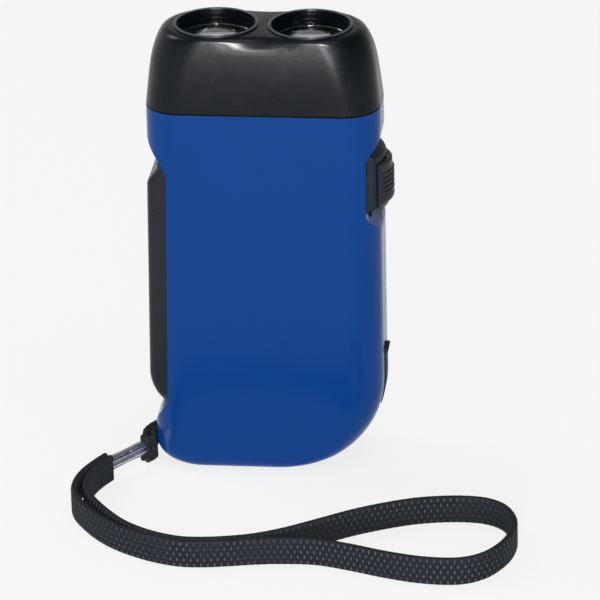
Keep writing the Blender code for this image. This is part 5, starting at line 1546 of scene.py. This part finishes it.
@dataclass
class Lever:
    """The press lever: a rounded grip, open towards the case, with its hub and toothed sector."""

    half_depth: float = high("lever").y
    wall: float = 0.0016
    pivot: Place = (-0.0189, 0.0670)
    neck_x: float = -0.0228
    grip_top_x: float = -0.0250
    grip_foot_x: float = -0.0258
    inner_x: float = -0.0192
    top: float = high("lever").z
    top_radius: float = 0.0022
    grip_top_z: float = 0.0655
    grip_foot_z: float = 0.0220
    end_z: float = low("lever").z
    ear_radius: float = 0.0052
    ear_foot_z: float = 0.0600
    grip_edge: float = 0.0017
    hub_radius: float = 0.00195
    bore_radius: float = 0.0013
    teeth: int = 72
    module: float = 0.0008
    addendum: float = 0.80
    dedendum: float = 1.10
    pressure: float = math.radians(25)
    backlash: float = 0.00015
    sector_direction: float = math.radians(-60)
    sector_teeth: tuple[int, int] = (-2, 6)
    sector_half: float = 0.0015
    sector_hub: float = 0.0016
    sector_rim: float = 0.0028
    sector_window: float = 0.0100
    sector_spoke: float = 0.0022
    ear_span: Place = (math.radians(-80), math.radians(75))
    overrun: float = 0.006
    neck_steps: int = 20
    foot_steps: int = 24
    ear_steps: int = 24
    crown_steps: int = 10
    edge_segments: int = 6
    window_steps: tuple[int, int] = (8, 12)

    def outer(self, inset: float) -> list[Place]:
        """Return the outer side from top to bottom, moved in by an inset.

        Args:
            inset: The inset, which is 0 for the outside.

        Returns:
            The side's (x, z) places.
        """
        neck_z = self.top - self.top_radius - FIT
        outline = []
        for share in shares(self.neck_steps):
            x = self.neck_x + (self.grip_top_x - self.neck_x) * ease(share)
            outline.append((x + inset, neck_z + (self.grip_top_z - neck_z) * share))
        half_width = self.inner_x - self.grip_foot_x - inset
        half_height = self.grip_foot_z - self.end_z - inset
        for share in shares(self.foot_steps):
            swing = math.pi / 2 * share
            x = self.inner_x - half_width * math.cos(swing)
            outline.append((x, self.grip_foot_z - half_height * math.sin(swing)))
        return outline

    def outline(self) -> list[Place]:
        """Return the whole side outline, with the ear round the pivot.

        Returns:
            The outline's (x, z) places.
        """
        ear = arc(self.pivot, self.ear_radius, *self.ear_span, self.ear_steps)
        corner = (self.neck_x + self.top_radius, self.top - self.top_radius)
        crown = arc(corner, self.top_radius, math.pi / 2, math.pi, self.crown_steps)
        bridge = (self.pivot[0], self.top)
        return [*self.outer(0), (self.inner_x, self.ear_foot_z), *ear, bridge, *crown]

    def grip(self) -> bpy.types.Object:
        """Make the grip with its long edges rounded.

        Returns:
            The grip, still solid.
        """
        grip = plate("lever_grip", self.outline(), (-self.half_depth, self.half_depth))
        shape = bmesh.new()
        shape.from_mesh(grip.data)
        limit = self.inner_x - FIT
        chain = [
            edge
            for edge in shape.edges
            if all(vert.co.x < limit for vert in edge.verts)
            and abs(edge.verts[0].co.y - edge.verts[1].co.y) < WELD
        ]
        bmesh.ops.bevel(
            shape,
            geom=chain,
            offset=self.grip_edge,
            segments=self.edge_segments,
            profile=0.5,
            affect="EDGES",
            material=-1,
        )
        shape.to_mesh(grip.data)
        shape.free()
        return grip

    def channel(self) -> bpy.types.Object:
        """Make the space inside the grip.

        Returns:
            The space, which is open towards the case.
        """
        far = self.pivot[0] + self.ear_radius + self.overrun
        side = self.outer(self.wall)
        roof = self.top - self.wall
        outline = [(side[0][0], roof), *side, (far, side[-1][1]), (far, roof)]
        inner = self.half_depth - self.wall
        return plate("lever_channel", outline, (-inner, inner))

    @property
    def pitch_radius(self) -> float:
        """Return the radius at which the teeth roll on the wheel's."""
        return self.module * self.teeth / 2

    def tooth(self) -> list[Place]:
        """Return one side of a tooth as (radius, half angle) pairs, from its root to its tip.

        Returns:
            The pairs, along the tooth's involute.
        """
        pitch = self.pitch_radius
        base = pitch * math.cos(self.pressure)
        tip = pitch + self.addendum * self.module
        root = pitch - self.dedendum * self.module
        half_tooth = math.pi / (2 * self.teeth) - self.backlash / (4 * pitch)
        spread = half_tooth + math.tan(self.pressure) - self.pressure
        first = max(base, root)
        side = [(root, spread)] if root < base else []
        for share in shares(4):
            radius = first + (tip - first) * share
            angle = math.acos(min(base / radius, 1))
            side.append((radius, spread - math.tan(angle) + angle))
        return side

    def polar(self, radius: float, angle: float) -> Place:
        """Return a place at a radius and an angle from the pivot."""
        return self.pivot[0] + radius * math.cos(angle), self.pivot[1] + radius * math.sin(angle)

    def sector(self) -> list[bpy.types.Object]:
        """Make the toothed sector and the tool that cuts its window.

        Returns:
            The sector and the tool.
        """
        turn = 2 * math.pi / self.teeth
        side = self.tooth()
        root = self.pitch_radius - self.dedendum * self.module
        lowest, highest = self.sector_teeth
        first = self.sector_direction + turn * (lowest - 1)
        last = self.sector_direction + turn * (highest + 1)
        outline = [self.polar(self.sector_hub, first), self.polar(root, first)]
        for number in range(lowest, highest + 1):
            middle = self.sector_direction + turn * number
            outline += [self.polar(radius, middle - angle) for radius, angle in side]
            outline += [self.polar(radius, middle + angle) for radius, angle in reversed(side)]
        outline += [self.polar(root, last), self.polar(self.sector_hub, last)]
        rim = root - self.sector_rim
        near = self.sector_spoke / self.sector_window
        wide = self.sector_spoke / rim
        inner, outer = self.window_steps
        window = arc(self.pivot, self.sector_window, first + near, last - near, inner)
        window += arc(self.pivot, rim, last - wide, first + wide, outer)
        half = self.sector_half
        return [
            plate("lever_sector", outline, (-half, half)),
            plate("lever_window", window, (-half - FIT, half + FIT)),
        ]

    def make(self) -> None:
        """Make the lever."""
        grip = self.grip()
        carve(grip, [self.channel()])
        sector, window = self.sector()
        carve(sector, [window])
        hub, bore = self.half_depth - self.wall / 2, self.half_depth + FIT
        carve(grip, [rod("lever_hub", self.pivot, (-hub, hub), self.hub_radius), sector], "UNION")
        carve(grip, [rod("lever_bore", self.pivot, (-bore, bore), self.bore_radius)])
        finish_piece(grip, Finish.LEVER, "lever", ["lever"])


@dataclass
class Switch:
    """The switch: an arched surround and the ribbed thumb piece that slides over it."""

    side_x: float = 0.0250
    floor_x: float = 0.0221
    back_x: float = low("switch_bezel").x
    top: float = high("switch_bezel").z
    bottom: float = low("switch_bezel").z
    half_depth: float = high("switch_bezel").y
    crown_proud: float = 0.0007
    side_inset: float = 0.0014
    ramp: float = 0.0016
    edge: float = 0.0009
    side_edge: float = 0.0005
    slot_half_depth: float = 0.0022
    thumb_top: float = high("switch_thumb").z
    thumb_bottom: float = low("switch_thumb").z
    thumb_half_depth: float = high("switch_thumb").y
    thumb_proud: float = 0.0020
    thumb_side_inset: float = 0.0002
    thumb_edge: float = 0.0005
    thumb_rows: int = 150
    thumb_back: tuple[float, ...] = (1, 0.6, 0.2, -0.2, -0.6, -1)
    ridge_rise: float = 0.0004
    ridge_z: float = 0.0622
    ridge_half_height: float = 0.0017
    ramp_height: float = 0.0016
    ribs: int = 5
    rib_foot: float = 0.0637
    rib_pitch: float = 0.00108
    rib_half_height: float = 0.00036
    rib_rise: float = 0.00042
    stem_half_depth: float = 0.0016
    stem_half_height: float = 0.0022
    knob_x: float = 0.0200
    travel: float = 0.0020
    thumb_toe: float = 0.15
    thumb_angle: float = 40
    edge_steps: int = 5
    face_steps: int = 24
    ramp_steps: int = 16
    top_steps: int = 8
    rib_ease: float = 0.0012
    least_rise: float = 0.0001
    overrun: Place = (0.001, 0.003)

    @property
    def middle(self) -> float:
        """Return the height of the thumb piece's middle."""
        return (self.thumb_top + self.thumb_bottom) / 2

    def depths(self, half: float, edge: float) -> list[float]:
        """Return places along Y, close together in the round edges.

        Args:
            half: Half the face's depth.
            edge: The radius of its round edges.

        Returns:
            The places, from front to rear.
        """
        near = [-half + quarter_round(edge, share)[1] for share in shares(self.edge_steps)]
        reach = half - edge
        middle = [reach * (2 * share - 1) for share in shares(self.face_steps)[1:-1]]
        return near + middle + [-y for y in reversed(near)]

    def face(self, crown: float, side: float, half: float, edge: float) -> list[Place]:
        """Return an arched face's (x, y) places, with round ends.

        Args:
            crown: The face's X in its middle.
            side: Its X at its ends.
            half: Half its depth.
            edge: The radius of its round ends.

        Returns:
            The places, from front to rear.
        """
        places = []
        for y in self.depths(half, edge):
            share = y / half
            arched = crown + (side - crown) * share * share
            places.append((arched - draw_in(half - abs(y), edge), y))
        return places

    def make_bezel(self) -> None:
        """Make the surround, which ramps up from the scallop's floor."""
        crown = self.side_x + self.crown_proud
        side = self.side_x - self.side_inset
        span = crown - self.floor_x
        levels = []
        for share in shares(self.ramp_steps):
            levels.append((self.bottom + self.ramp * share, ease(share)))
        for share in shares(self.top_steps):
            risen, sunk = quarter_round(self.edge, share)
            levels.append((self.top - self.edge + risen, 1 - sunk / span))
        rows = []
        for height, share in levels:
            top = self.floor_x + span * share
            low_side = self.floor_x + (side - self.floor_x) * share
            face = self.face(top, low_side, self.half_depth, self.side_edge)
            row = [(self.back_x, -self.half_depth), *face, (self.back_x, self.half_depth)]
            rows.append([Vector((x, y, height)) for x, y in row])
        bezel = skin("switch_surround", rows)
        reach = self.stem_half_height + FIT
        behind, before = self.overrun
        slot = block(
            "switch_slot",
            (self.back_x - behind, -self.slot_half_depth, self.middle - reach),
            (self.side_x + before, self.slot_half_depth, self.middle + reach + self.travel),
        )
        carve(bezel, [slot])
        finish_piece(bezel, Finish.SWITCH, "body", ["switch_bezel"])

    def lift(self, height: float) -> float:
        """Return how far the ridge and the ribs rise at a height.

        Args:
            height: The height.

        Returns:
            The rise above the smooth face.
        """
        off = abs(height - self.ridge_z) / self.ridge_half_height
        rise = self.ridge_rise * ease(1 - off)
        for number in range(self.ribs):
            gap = abs(height - self.rib_foot - number * self.rib_pitch)
            rise += self.rib_rise * ease(1 - gap / self.rib_half_height)
        return rise

    def make_thumb(self) -> None:
        """Make the thumb piece with its ridge and ribs."""
        half = self.thumb_half_depth
        seat = self.side_x + self.crown_proud + FIT
        seat_side = seat - (self.crown_proud + self.side_inset) * (half / self.half_depth) ** 2
        crown = self.side_x + self.thumb_proud
        side = self.side_x - self.thumb_side_inset
        dip = seat_side - seat
        back = [(seat + dip * share * share, share * half) for share in self.thumb_back]
        rows = []
        for share in shares(self.thumb_rows):
            height = self.thumb_bottom + (self.thumb_top - self.thumb_bottom) * share
            begun = ease((height - self.thumb_bottom) / self.ramp_height)
            full = self.thumb_toe + (1 - self.thumb_toe) * begun
            rise = self.lift(height) - draw_in(self.thumb_top - height, self.thumb_edge)
            top = seat + (crown - seat) * full
            low_side = seat_side + (side - seat_side) * full
            ribbed = []
            for x, y in self.face(top, low_side, half, self.thumb_edge):
                inner = ease((half - abs(y)) / self.rib_ease) if rise > 0 else 1
                ribbed.append((max(x + rise * inner, seat_side + self.least_rise), y))
            rows.append([Vector((x, y, height)) for x, y in ribbed + back])
        thumb = skin("switch_slider", rows)
        stem = block(
            "switch_stem",
            (self.knob_x + FIT, -self.stem_half_depth, self.middle - self.stem_half_height),
            (seat + FIT, self.stem_half_depth, self.middle + self.stem_half_height),
        )
        carve(thumb, [stem], "UNION")
        nodes = ["switch_thumb"]
        finish_piece(thumb, Finish.THUMB, "switch", nodes, self.thumb_angle)

    def make(self) -> None:
        """Make the switch."""
        self.make_bezel()
        self.make_thumb()


@dataclass
class Screws:
    """The four case screws, with round heads and cross recesses."""

    head_radius: float = 0.0022
    seat: float = 0.0078
    head_height: float = 0.0018
    radius: float = 0.0010
    tip: float = -0.0066
    recess: Spot = (0.0013, 0.00032, 0.0009)
    head_edge: float = 0.0005
    edge_steps: int = 6
    turn_steps: int = 48

    def make(self) -> None:
        """Make the screws."""
        top = self.seat + self.head_height
        rim = soft_rim(self.head_radius, top, self.head_edge, self.edge_steps)
        profile = [(0, self.tip), (self.radius, self.tip + self.radius), (self.radius, self.seat)]
        profile += [(self.head_radius, self.seat), *rim, (0, top)]
        long, narrow, deep = self.recess
        sizes = ((long, narrow), (narrow, long))
        turn = Matrix.Rotation(-math.pi / 2, 4, "X")
        for number, (x, z) in enumerate(SCREW_PLACES, 1):
            screw = turned(f"screw_{number}", profile, Vector((0, 0, 0)), self.turn_steps)
            arms = [block("arm", (-a, -b, top - deep), (a, b, top + deep)) for a, b in sizes]
            carve(screw, arms)
            screw.data.transform(Matrix.Translation((x, 0, z)) @ turn)
            finish_piece(screw, Finish.STEEL, "body", [f"case_screw_{number}"])


NODE_FINISHES = {
    Finish.CASE: ("front_shell", "rear_shell"),
    Finish.HEAD: ("head_cap", "charge_socket", "rectifier"),
    Finish.LEVER: ("lever",),
    Finish.SWITCH: ("switch_bezel", "switch_thumb"),
    Finish.RUBBER: ("port_cover",),
    Finish.BRASS: ("drive_gear", "idler_gear", "rotor_pinion"),
    Finish.COIL: ("rotor_hub", "coil_bobbin"),
    Finish.MAGNET: ("rotor_magnet",),
    Finish.BOARD: ("circuit_board", "led_board"),
    Finish.STEEL: (
        *("lever_pin", "drive_axle", "idler_axle", "rotor_shaft", "pole_can", "slide_switch"),
        *("strap_post", "battery_cell_1", "battery_cell_2", "battery_cell_3"),
        *(f"case_screw_{number}" for number in range(1, 5)),
    ),
    Finish.SPRING: ("lever_spring",),
    Finish.COPPER: ("coil_winding", "led_lead_plus", "led_lead_minus"),
    Finish.CRIMP: ("strap_crimp",),
    Finish.BOWL: ("reflector_left", "reflector_right"),
    Finish.LENS: ("lens_left", "lens_right"),
    Finish.LED: ("led_left", "led_right"),
    Finish.CLOTH: ("strap_tab", "strap_loop"),
}


@dataclass
class Studio:
    """The camera, the lamps and the floor of the photograph."""

    target: Vector = field(default_factory=lambda: Vector((0, 0, 0.049)))
    lamp_aim: Vector = field(default_factory=lambda: Vector((0, 0, 0.05)))
    lamps: tuple[tuple[str, Spot, float, float, bool], ...] = (
        ("key_lamp", (0.05, -1.28, 0.21), 0.20, 8.5, False),
        ("glint_lamp", (0.12, -1.05, 0.68), 0.24, 34.0, True),
        ("top_lamp", (0.20, -0.35, 1.1), 0.6, 2.5, False),
        ("window_lamp", (-0.75, 0.25, 0.75), 0.35, 2.5, False),
    )
    floor_size: float = 4.0
    distance: float = 1.0
    elevation: float = math.radians(23.244)
    azimuth: float = math.radians(6.895)
    roll: float = math.radians(1.406)
    focal_share: float = 4642.557 / 600
    aim: Place = (268.572 / 600, 245.245 / 600)
    sensor: float = 36.0
    clip_span: Place = (0.05, 20.0)
    backdrop: Colour = srgb(245, 245, 245)
    dim_level: float = 0.36
    sky_fall: tuple[float, ...] = (0.10, 0.50, 1.0, 0.30)
    side_fall: tuple[float, ...] = (0.05, 0.70, 1.0, 0.35)
    paper: Colour = srgb(250, 250, 250)
    paper_tones: tuple[Colour, Colour] = (srgb(250, 250, 250), srgb(252, 252, 252))
    paper_scale: float = 9
    paper_roughness: float = 0.9
    paper_glow: float = 0.85
    floor_shade: float = 0.7
    floor_shade_span: Place = (0.03, 0.13)

    def back(self) -> Vector:
        """Return the direction from the target to the camera.

        Returns:
            The direction, one metre long.
        """
        level = math.cos(self.elevation)
        x, y = math.sin(self.azimuth) * level, -math.cos(self.azimuth) * level
        return Vector((x, y, math.sin(self.elevation)))

    def make_camera(self) -> None:
        """Make the camera at the photograph's angle and framing."""
        data = bpy.data.cameras.new("camera")
        data.sensor_width = self.sensor
        data.lens = self.focal_share * self.sensor
        data.shift_x = 0.5 - self.aim[0]
        data.shift_y = self.aim[1] - 0.5
        data.clip_start, data.clip_end = self.clip_span
        camera = link("camera", data)
        turn = (-self.back()).to_track_quat("-Z", "Y").to_matrix().to_4x4()
        place = Matrix.Translation(self.target + self.back() * self.distance)
        camera.matrix_world = place @ turn @ Matrix.Rotation(-self.roll, 4, "Z")
        bpy.context.scene.camera = camera
        LOG.info("camera made")

    def make_lamp(self, name: str, place: Spot, size: float, power: float, glint: bool) -> None:
        """Make a square soft lamp that points at the light.

        Args:
            name: The lamp's name.
            place: Where it stands.
            size: The side of its face, in metres.
            power: Its power, in watts.
            glint: Whether it is seen in reflections only.
        """
        data = bpy.data.lights.new(name, "AREA")
        data.size = size
        data.energy = power
        lamp = link(name, data)
        lamp.location = place
        lamp.rotation_euler = (self.lamp_aim - Vector(place)).to_track_quat("-Z", "Y").to_euler()
        lamp.visible_camera = False
        lamp.visible_diffuse = not glint

    def make_lights(self) -> None:
        """Make the soft studio lamps and the pale world."""
        for lamp in self.lamps:
            self.make_lamp(*lamp)
        world = bpy.data.worlds.new("studio")
        bpy.context.scene.world = world
        sky = Graph(world)
        rays = sky.rays()
        across = sky.axis("X", "Generated").between(*self.side_fall).most(rays["Camera"])
        strength = sky.axis("Z", "Generated").between(*self.sky_fall) * across
        values = {"Color": self.backdrop, "Strength": strength}
        bright = sky.out(0, "ShaderNodeBackground", None, values)
        dim = sky.tree.nodes["Background"]
        sky.feed(dim.inputs["Color"], (1.0, 1.0, 1.0))
        sky.feed(dim.inputs["Strength"], self.dim_level)
        seen = rays["Camera"].most(rays["Glossy"]).most(rays["Transmission"])
        mix = sky.out(0, "ShaderNodeMixShader", None, {0: seen, 1: dim.outputs[0], 2: bright})
        sky.feed(sky.tree.nodes["World Output"].inputs[0], mix)

    def make_floor(self) -> None:
        """Make the pale floor, which keeps the light's soft shadow."""
        shape = bmesh.new()
        bmesh.ops.create_grid(shape, x_segments=1, y_segments=1, size=self.floor_size)
        floor = solid("floor", shape)
        paint = Paint("floor_paper")
        clouds = paint.noise(self.paper_scale, 2)
        paint.set("Base Color", paint.blend(clouds, *self.paper_tones))
        paint.set("Roughness", self.paper_roughness)
        glow = paint.out(0, "ShaderNodeEmission", None, {"Color": self.paper, "Strength": 1.0})
        rays = paint.rays()
        # Painted shade: for glossy rays the floor is darkened towards its +X side, so the pieces
        # reflect it darker there.
        shade = 1 - self.floor_shade * paint.axis("X").between(*self.floor_shade_span)
        seen = rays["Camera"].most(rays["Glossy"] * shade).most(rays["Transmission"])
        values = {0: seen * self.paper_glow, 1: paint.shader.outputs[0], 2: glow}
        mix = paint.out(0, "ShaderNodeMixShader", None, values)
        paint.feed(paint.tree.nodes["Material Output"].inputs[0], mix)
        floor.data.materials.append(paint.material)
        bpy.context.scene.view_settings.view_transform = "Standard"


def dress_nodes() -> None:
    """Give every node of the frame the finish of its kind."""
    for finish, names in NODE_FINISHES.items():
        for name in names:
            dress(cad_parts[name].data, finish)
    LOG.info("frame dressed")


def main() -> None:
    """Build every piece, in order, and report each."""
    logging.basicConfig(level=logging.INFO, format="%(name)s: %(message)s")
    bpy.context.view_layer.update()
    studio = Studio()
    studio.make_camera()
    for part in (WristStrap, Case, Head, Lamps, Lever, Switch, Screws):
        part().make()
    dress_nodes()
    studio.make_lights()
    studio.make_floor()


if __name__ == "__main__":
    main()
